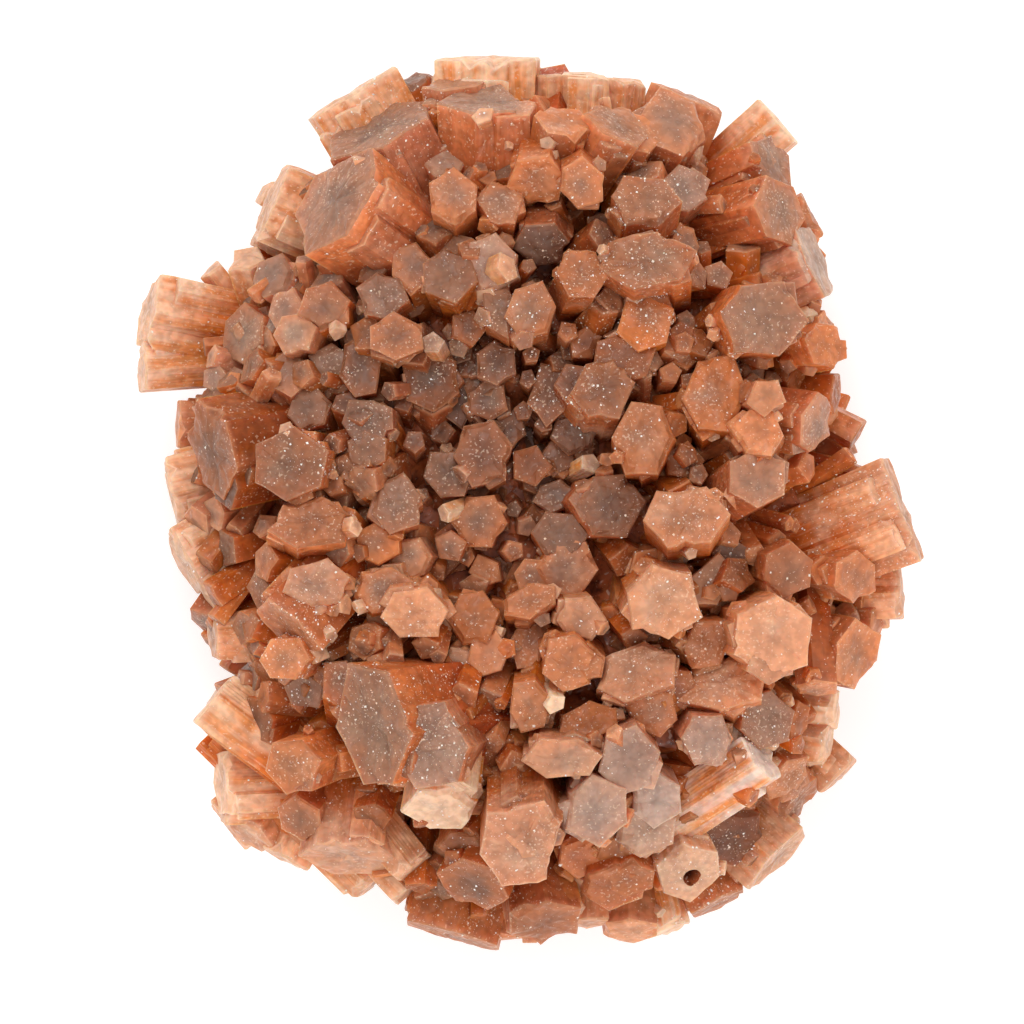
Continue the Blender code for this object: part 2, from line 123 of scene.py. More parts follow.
# Crystals that lie flat round the outline, their tips pointing outwards.
RIM = (
    (-13.8, 33.0, 1.0, 8.6, 0.85, 121, 86, 30),
    (-3.2, 35.6, 1.0, 9.0, 0.80, 90, 87, 30),
    (1.8, 34.3, 0.5, 2.4, 1.30, 92, 86, 10),
    (4.7, 34.4, 0.5, 4.4, 1.10, 88, 86, 30),
    (7.9, 34.0, 0.3, 3.2, 1.20, 86, 86, 20),
    (13.2, 32.6, 0.0, 7.0, 0.85, 66, 85, 30),
    (20.2, 30.8, 0.5, 5.2, 0.95, 41, 86, 30),
    (23.3, 19.5, 2.0, 6.6, 0.95, 24, 72, 28),
    (23.0, 23.2, 0.0, 4.2, 0.90, 28, 84, 30),
    (23.4, 15.2, 0.0, 2.4, 1.10, 8, 76, 20),
    (30.3, -0.4, 4.0, 9.9, 0.76, 22, 84, 30),
    (30.1, -7.0, 1.5, 5.6, 0.90, 2, 85, 30),
    (28.3, -9.3, 0.5, 3.6, 0.90, -12, 66, 12),
    (24.9, -16.4, 0.0, 3.4, 1.00, -4, 80, 30),
    (24.2, -19.4, 0.5, 4.0, 0.90, -10, 76, 20),
    (25.1, -22.0, -1.0, 4.4, 0.90, -44, 82, 30),
    (21.9, -24.0, 0.0, 4.8, 0.90, -40, 72, 15),
    (20.2, -28.7, 1.0, 7.4, 0.85, -42, 78, 30),
    (15.4, -32.1, 0.0, 5.0, 0.90, -62, 80, 25),
    (11.3, -34.3, 0.0, 3.8, 0.90, -74, 80, 30),
    (8.4, -34.3, 1.0, 5.0, 0.90, -86, 62, 30),
    (-5.9, -34.6, -1.0, 8.6, 0.85, -106, 84, 28),
    (-2.0, -35.0, -2.0, 4.2, 0.90, -86, 84, 30),
    (5.0, -33.6, 0.0, 3.8, 0.90, -84, 76, 26),
    (-9.3, -31.0, -1.0, 3.4, 1.00, -46, 84, 30),
    (-9.0, -29.2, 0.5, 3.8, 1.00, -52, 80, 30),
    (-12.4, -30.6, -2.0, 3.8, 1.00, -44, 84, 30),
    (-19.2, -28.7, -1.0, 4.8, 0.90, -118, 82, 30),
    (-22.2, -26.6, 0.5, 4.0, 1.00, -126, 68, 20),
    (-23.9, -25.9, -2.0, 5.2, 0.90, -142, 84, 30),
    (-24.5, -22.4, 1.0, 6.0, 0.90, 182, 77, 30),
    (-25.0, -15.4, 1.5, 5.8, 0.95, 142, 86, 30),
    (-25.1, -10.7, 0.5, 4.3, 1.00, 182, 79, 30),
    (-25.6, -7.4, -1.0, 3.8, 0.95, 216, 80, 28),
    (-27.4, -4.8, 0.5, 5.8, 0.85, 211, 75, 30),
    (-28.5, 0.9, -0.5, 6.0, 0.85, 194, 85, 30),
    (-27.9, 6.4, -2.0, 4.4, 0.90, 179, 84, 30),
    (-30.3, 15.7, 4.0, 6.8, 0.90, 168, 77, 30),
    (-30.8, 10.8, 3.0, 4.0, 1.20, 183, 78, 30),
    (-25.3, 18.8, -0.5, 2.2, 1.10, 130, 76, 0),
    (-22.3, 19.6, 1.0, 3.2, 1.00, 106, 52, 10),
    (-20.4, 24.3, 1.5, 7.6, 0.80, 156, 81, 30),
    (-21.2, 25.0, -2.0, 2.4, 1.00, 150, 82, 30),
)

# The large crystals that stand over the others in a ring.
RING = (
    (-11.7, 30.1, 3.0, 10.4, 0.95, 117, 70, 20),
    (-15.0, 24.0, 5.0, 9.2, 0.92, 146, 54, 8),
    (-3.2, 32.2, 4.0, 7.4, 0.95, 90, 68, 12),
    (-5.8, 33.6, 3.0, 5.4, 0.95, 96, 76, 10),
    (3.0, 30.6, 5.0, 4.6, 0.95, 78, 52, 5),
    (0.9, 25.6, 2.5, 4.6, 1.05, -100, 28, 20),
    (7.2, 30.4, 4.5, 5.6, 0.95, 58, 58, 25),
    (11.8, 30.6, 4.0, 5.8, 1.20, 64, 42, 10),
    (9.0, 29.6, 3.2, 4.0, 1.20, 60, 46, 22),
    (20.4, 23.4, 4.5, 5.6, 1.10, 13, 52, 12),
    (19.8, 27.3, 3.8, 4.6, 1.10, 25, 58, 24),
    (18.7, 14.8, 6.5, 6.9, 1.10, 20, 16, 6),
    (24.0, 12.6, 5.0, 3.9, 1.25, 8, 42, 12),
    (23.3, 6.2, 3.0, 5.4, 1.05, -10, 55, 14),
    (18.5, 2.0, 3.5, 4.9, 1.10, 34, 26, 25),
    (12.6, -1.0, 5.0, 7.1, 0.76, 92, 12, 4),
    (6.6, -0.1, 2.8, 5.4, 1.02, 20, 12, 12),
    (9.4, 5.4, 4.0, 5.0, 1.28, 86, 8, 2),
    (10.8, -7.9, 5.0, 6.1, 1.02, -60, 10, 14),
    (19.7, -10.7, 5.5, 7.0, 0.98, -24, 15, 18),
    (20.9, -5.4, 2.0, 4.4, 1.10, -18, 28, 8),
    (26.3, -5.8, 3.5, 4.0, 1.40, -8, 46, 6),
    (26.5, -12.2, 4.5, 5.8, 1.00, -12, 46, 16),
    (23.1, -14.9, 3.0, 3.7, 1.00, -86, 66, 30),
    (8.2, -20.5, 4.0, 4.8, 1.18, -80, 12, 6),
    (3.0, -20.2, 4.0, 6.3, 0.54, -90, 12, 8),
    (5.5, -24.4, 5.0, 5.4, 1.02, -80, 12, 24),
    (-0.6, -27.2, 8.0, 6.6, 1.12, -88, 26, 8),
    (13.0, -29.5, 4.0, 5.5, 0.98, -66, 38, 16),
    (1.5, -33.6, 4.5, 6.2, 0.95, -78, 54, 18),
    (-4.2, -30.6, 3.5, 5.8, 0.98, -116, 46, 10),
    (-6.8, -24.4, 4.5, 6.0, 0.98, -98, 56, 12),
    (-7.7, -19.4, 7.0, 6.6, 0.96, 200, 12, 16),
    (-12.2, -17.6, 6.5, 11.0, 0.66, 188, 40, 24),
    (-14.2, -28.4, 3.5, 7.4, 0.90, -97, 65, 12),
    (-18.0, -25.2, 4.5, 4.0, 1.05, 232, 36, 10),
    (-18.7, -20.8, 5.5, 4.6, 1.05, 200, 32, 22),
    (-19.3, -12.4, 4.0, 3.6, 1.22, 200, 28, 8),
    (-19.0, -10.1, 3.0, 6.4, 0.85, 228, 62, 28),
    (-16.6, -6.5, 2.5, 5.7, 0.72, 96, 12, 10),
    (-17.0, -1.5, 2.8, 7.0, 0.64, 94, 14, 12),
    (-18.8, 3.0, 4.0, 6.0, 1.06, 170, 14, 6),
    (-25.1, 4.0, 4.0, 8.2, 0.92, 192, 60, 4),
    (4.4, 25.3, 4.5, 3.6, 1.22, -82, 14, 14),
    (9.4, 24.2, 4.5, 5.6, 0.82, 82, 30, 6),
    (9.5, 19.3, 5.0, 8.0, 0.64, 92, 16, 12),
    (4.5, 18.2, 4.0, 4.1, 1.14, 64, 16, 22),
    (-5.7, 24.4, 3.0, 4.1, 1.24, 100, 24, 20),
    (0.4, 15.2, 3.2, 4.3, 1.14, 80, 10, 20),
    (19.0, -20.2, 3.0, 4.6, 0.90, 34, 68, 26),
)

# The smaller crystals between them, and those down in the bowl in the middle.
HEART = (
    (-9.2, 34.0, 0.5, 3.2, 1.00, 106, 76, 10), (-6.9, 29.2, 0.5, 3.0, 0.95, 116, 52, 20),
    (-6.5, 27.5, 0.5, 3.2, 1.05, 92, 40, 5), (-2.1, 24.2, 2.0, 3.5, 1.15, 84, 30, 8),
    (1.3, 20.4, 0.5, 4.0, 0.95, -96, 24, 12), (-2.9, 19.0, 2.2, 4.2, 1.05, 96, 16, 8),
    (-6.1, 18.4, 2.2, 4.1, 1.06, 110, 20, 18), (-9.0, 18.9, 1.0, 3.2, 1.35, 108, 26, 6),
    (-2.0, 15.3, 2.4, 2.9, 1.35, 96, 12, 26), (12.5, 25.1, 1.8, 3.5, 1.15, 60, 26, 12),
    (13.0, 20.8, 0.0, 3.0, 0.80, 18, 34, 5), (13.9, 26.8, -3.0, 2.4, 1.00, 50, 40, 15),
    (15.4, 18.2, 0.0, 2.2, 1.00, 40, 24, 22), (-13.7, 14.3, -2.0, 3.4, 1.00, 130, 18, 12),
    (-10.3, 13.3, 2.6, 4.3, 0.76, 94, 8, 28), (-13.2, 11.0, 0.4, 3.2, 1.55, 96, 12, 10),
    (-15.5, 11.3, -0.6, 2.9, 1.15, 140, 18, 6), (-18.9, 10.5, 0.2, 3.0, 1.28, 104, 24, 22),
    (-17.3, 7.6, -0.5, 3.3, 0.95, 150, 20, 14), (-12.8, 6.6, 1.2, 3.5, 1.05, 150, 14, 8),
    (-12.7, 4.2, 1.4, 3.0, 1.00, 160, 14, 24), (-12.9, 2.6, 0.6, 3.3, 0.80, 96, 14, 12),
    (-25.0, 10.0, 0.5, 2.2, 1.15, 168, 44, 28), (-22.2, 7.3, -0.3, 2.7, 1.20, 160, 34, 8),
    (-25.0, -0.8, -0.5, 2.8, 1.00, 190, 56, 10), (-10.3, 0.0, 1.8, 3.7, 1.20, 92, 10, 16),
    (9.5, 14.6, 1.8, 4.1, 1.12, 84, 12, 26), (-4.6, 13.9, 0.6, 2.7, 0.95, 40, 10, 10),
    (4.7, 12.8, 0.4, 2.3, 1.10, 60, 12, 6), (7.7, 11.6, 1.6, 4.8, 0.78, 98, 12, 8),
    (-2.4, 11.2, 0.8, 3.0, 1.00, 100, 8, 24), (-7.6, 9.9, 0.2, 4.3, 1.10, 110, 10, 14),
    (-5.5, 8.2, -1.0, 2.3, 1.80, 96, 8, 26), (-3.2, 8.3, 0.2, 3.2, 0.98, 120, 8, 8),
    (1.8, 8.7, 0.9, 2.9, 1.75, 88, 8, 12), (6.1, 9.2, 3.6, 4.4, 1.08, 70, 18, 24),
    (3.6, 9.6, 2.0, 2.2, 1.50, 84, 20, 10), (3.9, 5.6, 0.4, 3.5, 0.82, 90, 8, 16),
    (-1.3, 5.9, -0.2, 2.6, 1.12, 90, 6, 22), (-3.4, 4.1, 2.2, 4.6, 1.08, 90, 6, 8),
    (0.4, 3.1, 0.8, 2.9, 0.98, 40, 6, 14), (2.6, 3.7, -0.2, 2.7, 1.00, 20, 8, 2),
    (-6.2, 2.4, 0.8, 3.6, 1.10, 130, 8, 26), (-3.7, -1.5, 1.4, 4.0, 0.98, 200, 8, 10),
    (2.4, 0.6, -0.2, 3.2, 0.72, 96, 8, 12), (12.6, 3.4, 0.4, 2.8, 0.95, 40, 14, 20),
    (24.8, 8.7, 0.5, 3.4, 0.95, -2, 76, 30), (15.1, 8.7, 1.6, 4.6, 1.35, 82, 14, 10),
    (19.1, 8.5, 5.0, 2.7, 1.08, 20, 12, 16), (18.5, 5.7, 4.0, 4.0, 0.92, 80, 14, 4),
    (22.6, 3.0, 1.0, 2.2, 1.00, 12, 54, 14), (24.0, -5.4, 1.2, 2.4, 1.30, -12, 36, 20),
    (16.2, -4.1, -0.6, 2.8, 1.00, -20, 14, 26), (2.6, -2.4, 1.8, 3.9, 0.95, 80, 8, 10),
    (3.2, -5.2, 1.4, 4.8, 0.95, -60, 8, 24), (0.6, -5.9, 1.0, 3.0, 0.95, 200, 10, 4),
    (-6.1, -3.4, 1.2, 2.4, 1.00, 200, 10, 12), (0.2, -7.7, 3.0, 4.3, 0.66, 104, 12, 26),
    (14.7, -6.2, 0.6, 2.7, 1.60, 60, 14, 6), (-4.2, -9.0, 1.6, 3.8, 1.14, 84, 10, 10),
    (-3.0, -12.0, 0.4, 3.0, 1.10, -96, 12, 20), (0.6, -10.8, -0.4, 3.1, 1.60, 70, 12, 14),
    (4.3, -9.3, 3.0, 3.4, 1.12, -50, 12, 22), (3.5, -12.7, 3.2, 4.4, 1.02, -80, 12, 6),
    (8.6, -13.2, 1.6, 6.2, 0.72, 104, 14, 12), (-5.1, -13.0, -0.6, 3.0, 1.00, -110, 14, 18),
    (-11.4, -6.9, 1.2, 4.9, 0.74, 94, 12, 8), (-9.2, -4.3, 0.6, 3.2, 1.00, 190, 12, 24),
    (-11.8, -3.1, 0.4, 3.2, 1.05, 180, 14, 2), (-20.7, -6.8, -1.5, 3.4, 1.00, 190, 34, 16),
    (-8.9, -8.8, 2.4, 5.0, 0.80, -96, 16, 12), (14.6, -11.3, 0.8, 3.9, 0.95, -40, 18, 8),
    (15.6, -14.3, 1.0, 6.4, 0.64, 96, 16, 20), (-17.7, -15.0, 0.0, 2.9, 1.10, 210, 28, 10),
    (-14.8, -14.3, 2.0, 2.9, 1.45, 96, 20, 26), (0.2, -16.0, 2.0, 3.0, 1.32, -92, 12, 14),
    (5.0, -17.3, 1.0, 4.8, 0.60, 100, 12, 22), (10.3, -23.6, 2.2, 3.9, 1.05, -70, 18, 10),
    (9.5, -26.1, 2.2, 4.4, 0.90, -80, 26, 16), (14.6, -18.9, 3.0, 3.7, 1.12, -50, 16, 20),
    (16.6, -17.4, -0.6, 2.5, 1.45, 84, 18, 28), (19.2, -17.2, 2.2, 4.2, 1.08, -24, 26, 12),
    (21.8, -17.6, 2.0, 3.4, 0.70, -12, 44, 24), (21.1, -22.2, 1.5, 4.4, 1.00, -42, 54, 6),
    (16.6, -26.8, 1.0, 5.2, 0.95, -58, 40, 14), (-12.3, -25.2, 1.5, 2.8, 1.05, -110, 36, 26),
    (-5.0, -27.7, 1.5, 4.0, 0.80, -100, 32, 8), (7.0, -30.6, 2.5, 5.2, 0.85, -84, 42, 18),
    (4.4, -28.2, 0.5, 3.6, 1.00, -80, 26, 12), (7.4, -27.8, 0.8, 3.4, 0.85, -80, 30, 4),
    (-20.3, 18.2, 1.0, 3.3, 1.10, 140, 46, 22), (-19.3, 15.6, 1.2, 3.1, 1.00, 148, 32, 12),
    (-16.1, 15.7, 2.0, 3.6, 1.04, 140, 18, 24), (-12.2, 18.7, 0.4, 2.5, 1.00, 120, 24, 6),
    (-11.4, 16.6, 1.6, 3.7, 1.05, 120, 18, 16), (-18.5, 13.6, 1.8, 3.2, 1.06, 150, 24, 10),
    (-22.6, 13.6, -0.5, 4.6, 1.00, 164, 48, 20), (-21.5, -17.2, 0.5, 3.6, 1.00, 196, 52, 12),
    (10.0, -16.6, 0.6, 3.8, 1.00, -70, 16, 26), (12.0, -14.8, 0.0, 3.0, 1.00, -50, 16, 8),
)

# Chips and flakes in the gaps, too small for the solid part.
CHIPS = (
    (-3.0, 26.0, 0.5, 1.5, 1.00, 100, 30, 10), (-20.1, 10.4, 2.0, 1.8, 0.60, 60, 40, 20),
    (0.4, 11.9, 0.6, 1.4, 1.00, 70, 12, 5), (-7.5, 12.8, 2.0, 1.9, 1.00, 120, 20, 20),
    (0.1, 10.0, 0.4, 1.3, 1.20, 100, 16, 15), (-6.6, -0.8, 1.8, 1.6, 0.70, 200, 40, 10),
    (6.5, 3.5, 1.6, 1.4, 1.00, 40, 20, 0), (13.7, 2.3, 0.6, 1.7, 1.00, 40, 16, 10),
    (16.2, -7.0, 0.8, 1.9, 1.00, -20, 14, 20), (4.1, 34.0, 1.0, 2.0, 0.90, 88, 60, 10),
    (3.3, 13.7, 0.8, 1.7, 1.00, 80, 16, 25), (-0.2, 7.4, 0.4, 1.6, 1.00, 60, 10, 12),
    (-23.5, 9.8, 0.4, 1.7, 1.00, 150, 40, 10), (-25.2, 8.3, 0.0, 1.6, 1.00, 180, 50, 20),
    (13.9, 26.8, -1.5, 1.8, 1.00, 50, 40, 15), (2.3, -16.0, 2.4, 1.9, 0.80, -60, 24, 10),
    (5.2, 3.2, 1.8, 1.8, 0.80, 30, 26, 20), (-1.4, 18.7, 3.6, 2.6, 0.70, 20, 34, 6),
    (1.4, 6.4, 0.6, 1.5, 1.00, 80, 14, 10), (-8.9, 5.0, 0.8, 1.8, 1.10, 100, 14, 8),
    (-15.4, 1.5, 0.8, 1.9, 1.00, 150, 20, 18), (11.5, 10.4, 0.6, 1.9, 1.00, 60, 20, 6),
    (12.6, 12.9, 0.8, 1.8, 1.00, 50, 22, 16), (-1.0, -3.8, 0.8, 1.8, 1.00, 0, 12, 22),
)

# Tone of single crystals, by where their tips are: milkiness and greyness, 0 to 1.
TONES = (
    (-13.8, 33.0, 0.85, 0.1), (-3.2, 35.6, 0.95, 0.1), (1.8, 34.3, 0.8, 0.1),
    (4.7, 34.4, 0.9, 0.1), (7.9, 34.0, 0.8, 0.1), (13.2, 32.6, 0.45, 0.1),
    (20.2, 30.8, 0.9, 0.2), (23.3, 19.5, 0.6, 0.8), (23.0, 23.2, 0.4, 0.2),
    (23.4, 15.2, 0.9, 0.5), (30.3, -0.4, 0.68, 0.1), (30.1, -7.0, 0.7, 0.2),
    (28.3, -9.3, 0.4, 0.2), (24.9, -16.4, 0.9, 0.3), (24.2, -19.4, 0.8, 0.3),
    (25.1, -22.0, 0.7, 0.0), (21.9, -24.0, 0.4, 0.2), (20.2, -28.7, 0.75, 0.2),
    (15.4, -32.1, 0.4, 0.2), (11.3, -34.3, 0.95, 0.4), (8.4, -34.3, 0.5, 0.3),
    (-5.9, -34.6, 0.35, 0.0), (-2.0, -35.0, 0.4, 0.1), (5.0, -33.6, 0.6, 0.2),
    (-9.0, -29.2, 0.75, 0.1), (-12.4, -30.6, 0.8, 0.1), (-19.2, -28.7, 0.8, 0.1),
    (-22.2, -26.6, 0.6, 0.1), (-23.9, -25.9, 0.7, 0.0), (-24.5, -22.4, 0.85, 0.2),
    (-25.0, -15.4, 0.9, 0.1), (-25.1, -10.7, 0.7, 0.1), (-27.4, -4.8, 0.8, 0.3),
    (-28.5, 0.9, 0.85, 0.2), (-27.9, 6.4, 0.5, 0.3), (-30.3, 15.7, 0.85, 0.3),
    (-30.8, 10.8, 0.85, 0.3), (-20.4, 24.3, 0.8, 0.1), (-21.2, 25.0, 0.9, 0.1),
    (-11.7, 30.1, 0.35, 0.9), (-15.0, 24.0, 0.3, 0.95), (-3.2, 32.2, 0.35, 0.8),
    (-5.8, 33.6, 0.4, 0.6), (3.0, 30.6, 0.3, 0.4), (0.9, 25.6, 0.25, 0.2),
    (7.2, 30.4, 0.4, 0.4), (11.8, 30.6, 0.3, 0.8), (20.4, 23.4, 0.3, 0.7),
    (19.8, 27.3, 0.3, 0.7), (18.7, 14.8, 0.2, 0.8), (24.0, 12.6, 0.3, 0.0),
    (23.3, 6.2, 0.3, 0.9), (18.5, 2.0, 0.3, 0.8), (12.6, -1.0, 0.45, 0.1),
    (6.6, -0.1, 0.25, 1.0), (9.4, 5.4, 0.25, 0.3), (10.8, -7.9, 0.55, 0.2),
    (19.7, -10.7, 0.6, 0.1), (20.9, -5.4, 0.3, 0.3), (8.2, -20.5, 0.5, 0.9),
    (3.0, -20.2, 0.55, 0.6), (5.5, -24.4, 0.6, 0.9), (-0.6, -27.2, 0.55, 0.3),
    (13.0, -29.5, 0.8, 0.4), (-4.2, -30.6, 0.1, 0.9), (-6.8, -24.4, 1.0, 0.1),
    (-7.7, -19.4, 0.4, 0.9), (-12.2, -17.6, 0.25, 0.7), (-14.2, -28.4, 0.6, 0.2),
    (-18.7, -20.8, 0.35, 0.2), (-16.6, -6.5, 0.35, 0.7), (-17.0, -1.5, 0.35, 0.2),
    (-18.8, 3.0, 0.25, 0.5), (-25.1, 4.0, 0.05, 1.0), (19.0, -20.2, 0.95, 0.9),
    (-10.3, 13.3, 0.4, 0.0), (-7.6, 9.9, 0.0, 0.4), (6.1, 9.2, 0.4, 0.0),
    (-3.4, 4.1, 0.35, 0.2), (0.2, -7.7, 0.35, 0.0), (-8.9, -8.8, 0.55, 0.2),
    (4.3, -9.3, 0.6, 0.1), (3.5, -12.7, 0.35, 0.1), (2.6, -2.4, 0.15, 1.0),
    (3.2, -5.2, 0.2, 0.9), (19.2, -17.2, 0.3, 0.9), (21.1, -22.2, 0.4, 0.0),
    (16.6, -26.8, 0.0, 0.4), (16.2, -4.1, 0.1, 1.0), (9.5, 19.3, 0.3, 0.5),
    (9.4, 24.2, 0.3, 0.5), (4.5, 18.2, 0.3, 0.2), (-1.4, 18.7, 0.7, 0.0),
    (2.3, -16.0, 1.0, 0.2), (5.2, 3.2, 1.0, 0.3), (-6.6, -0.8, 0.9, 0.2),
    (-20.1, 10.4, 0.5, 0.0), (6.5, 3.5, 0.4, 0.0), (-7.5, 12.8, 0.9, 0.3),
    (10.3, -23.6, 0.72, 0.9), (9.5, -26.1, 0.6, 0.7), (14.6, -18.9, 0.5, 0.9),
    (16.6, -17.4, 0.7, 0.8), (15.6, -14.3, 0.4, 0.3), (8.6, -13.2, 0.5, 0.3),
)

# The hole in a crystal's end: x, y, lift, azimuth, tilt of that crystal.
PIT = (13.2, -29.7, 4.0, -66, 38)

# Where the crystals are darker: middle, radius, how much.
SHADE = (
    (-5.0, 9.0, 9.0, 0.75), (1.0, 1.0, 8.0, 0.45), (-12.0, 9.0, 7.0, 0.4),
    (4.0, 11.0, 6.0, 0.35), (16.0, -4.0, 3.0, 0.5), (-4.2, -29.5, 4.5, 0.6),
    (16.6, -25.4, 4.0, 0.7), (6.0, 19.0, 3.0, 0.3), (3.0, 22.6, 3.0, 0.7),
    (-25.0, 4.0, 3.6, 0.5), (12.6, 9.0, 4.0, 0.25), (-9.0, 21.0, 3.0, 0.2),
)

# Where loose white dust lies thickest: middle, radius, how much.
DUST = (
    (15.1, 12.6, 3.6, 2.2), (9.0, 17.4, 4.6, 1.6), (-5.0, -18.6, 6.0, 2.0),
    (-15.4, 4.4, 3.2, 2.0), (-18.6, -10.4, 4.4, 2.0), (-4.0, -32.0, 4.6, 1.6),
    (12.0, -3.0, 4.4, 1.6), (10.0, 23.0, 4.0, 1.8), (-11.0, 31.0, 4.4, 1.6),
    (28.4, 0.0, 5.0, 1.4), (10.8, -13.6, 4.6, 1.6), (-13.4, -16.0, 6.0, 1.2),
    (14.0, -30.4, 3.6, 2.2), (19.4, -19.0, 3.6, 1.6), (3.0, 12.4, 6.0, 1.6),
)


def dome_height(x, y):
    """Height of an ordinary crystal tip over the base, in mm."""
    reach = math.hypot(x / DOME_HALF[0], y / DOME_HALF[1])
    for (near, high), (far, low) in zip(DOME_PROFILE, DOME_PROFILE[1:]):
        if reach <= far:
            return high + (low - high) * (reach - near) / (far - near)
    return DOME_PROFILE[-1][1]


def in_core(point):
    """Whether the point, in mm, is inside the lump."""
    bowl = BOWL_DEPTH * math.exp(-(math.hypot(point[0], point[1]) / BOWL_RADIUS) ** 2)
    ratio = (point[0] / CORE_HALF[0], point[1] / CORE_HALF[1],
             (point[2] + bowl - CORE_MIDDLE_Z) / CORE_HALF[2])
    return sum(r * r for r in ratio) < 1.0


def axis_of(azimuth, tilt):
    """The way a crystal points, from its root to its tip."""
    around, lean = math.radians(azimuth), math.radians(tilt)
    return Vector((math.sin(lean) * math.cos(around),
                   math.sin(lean) * math.sin(around), math.cos(lean)))


def prism_length(tip, axis):
    """From the tip straight back into the lump."""
    for step in range(2, int(LONGEST * 2)):
        if in_core(tip - axis * (step / 2)):
            return step / 2 + ROOT_DEPTH
    return LONGEST


def skirt_crystals(dice):
    """Crystals round the lower sides, evenly spread with some disorder."""
    for height, reach, tilt, width, count in SKIRT:
        for k in range(count):
            around = 360 / count * (k + dice.uniform(-0.22, 0.22))
            x = SKIRT_HALF[0] * reach * math.cos(math.radians(around)) * dice.uniform(0.92, 1.0)
            y = SKIRT_HALF[1] * reach * math.sin(math.radians(around)) * dice.uniform(0.92, 1.0)
            lift = height + dice.uniform(-1.2, 1.2) - dome_height(x, y)
            yield Crystal(x, y, lift, width * dice.uniform(0.8, 1.2), dice.uniform(0.85, 1.15),
                          math.degrees(math.atan2(y, x)) + dice.uniform(-14, 14),
                          tilt + dice.uniform(-5, 5), dice.uniform(0, 60))


def druse_crystals(dice):
    """The small crystals that fill the gaps, over the top and round the sides."""
    for _ in range(DRUSE_TOP):
        around, reach = dice.uniform(0, math.tau), math.sqrt(dice.uniform(0, 0.92))
        highest = -0.3 if reach < 0.4 else 1.2
        x = DOME_HALF[0] * reach * math.cos(around)
        y = DOME_HALF[1] * reach * math.sin(around)
        yield Crystal(x, y, dice.uniform(-2.8, highest), 1.2 + 2.2 * dice.random() ** 1.6,
                      dice.uniform(0.8, 1.2), math.degrees(around) + dice.uniform(-50, 50),
                      68 * reach ** 1.6 + dice.uniform(4, 24), dice.uniform(0, 60))
    for _ in range(DRUSE_SIDES):
        around = dice.uniform(0, math.tau)
        height = dice.uniform(1.0, 18.0)
        reach = dice.uniform(0.80, 0.93)
        x = SKIRT_HALF[0] * reach * math.cos(around)
        y = SKIRT_HALF[1] * reach * math.sin(around)
        yield Crystal(x, y, height - dome_height(x, y), dice.uniform(1.4, 4.2),
                      dice.uniform(0.8, 1.2), math.degrees(around) + dice.uniform(-35, 35),
                      84 + dice.uniform(-22, 12), dice.uniform(0, 60))


def tone_of(x, y, usual):
    """Milkiness, greyness and darkness of the crystal whose tip is at x, y."""
    shade = sum(much * math.exp(-((x - mx) ** 2 + (y - my) ** 2) / size ** 2)
                for mx, my, size, much in SHADE)
    for near_x, near_y, milk, grey in TONES:
        if math.hypot(x - near_x, y - near_y) < 0.3:
            return milk, grey, shade
    return usual[0], usual[1], shade


def corners_of(crystal, dice):
    """The uneven corners of a prism's end, as the solid part has them, in mm."""
    sides = 5 if crystal.width < SMALL_WIDTH else 6
    reach = [1 + dice.uniform(-CORNER_JITTER, CORNER_JITTER) for _ in range(sides)]
    swing = [math.radians(crystal.twist + dice.uniform(-5, 5)) for _ in range(sides)]
    corners = []
    for k in range(sides):
        angle = math.tau * (0.25 + (k - 1) / sides) + swing[k]
        radius = reach[k] * crystal.width * HALF_WIDTH
        corners.append(Vector((math.cos(angle) * radius * crystal.stretch,
                               math.sin(angle) * radius, 0.0)))
    return corners


def outline_of(corners, width, detail):
    """Points round a prism, fluted between its corners: place and way round, in mm."""
    points, way = [], [0.0]
    for here, there in zip(corners, corners[1:] + corners[:1]):
        spacing = FLUTE_SPACING if width > SMALL_WIDTH else 1.2
        steps = max(1, round((there - here).length / spacing))
        notch = detail.randrange(steps) if detail.random() < NOTCH_CHANCE else -1
        for k in range(steps):
            point = here.lerp(there, k / steps)
            if k:
                depth = detail.uniform(0.0, 2.0) * FLUTE_DEPTH
                if k == notch:
                    depth += detail.uniform(0.02, 0.05)
                point -= point.normalized() * min(depth * width, DEEPEST_FLUTE)
            points.append(point)
            way.append(way[-1] + (there - here).length / steps)
    return points, way


def broken_corners(count, width, detail):
    """How far each of the points round a large crystal's end is broken away, 0 to 1."""
    broken = [0.0] * count
    for _ in range(detail.choice((0, 1, 1, 2)) if width > SMALL_WIDTH else 0):
        middle, reach, much = detail.randrange(count), count // 8 + 1, detail.uniform(0.4, 1.0)
        for k in range(-reach, reach + 1):
            at = (middle + k) % count
            broken[at] = max(broken[at], much * (1 - abs(k) / (reach + 1)))
    return broken


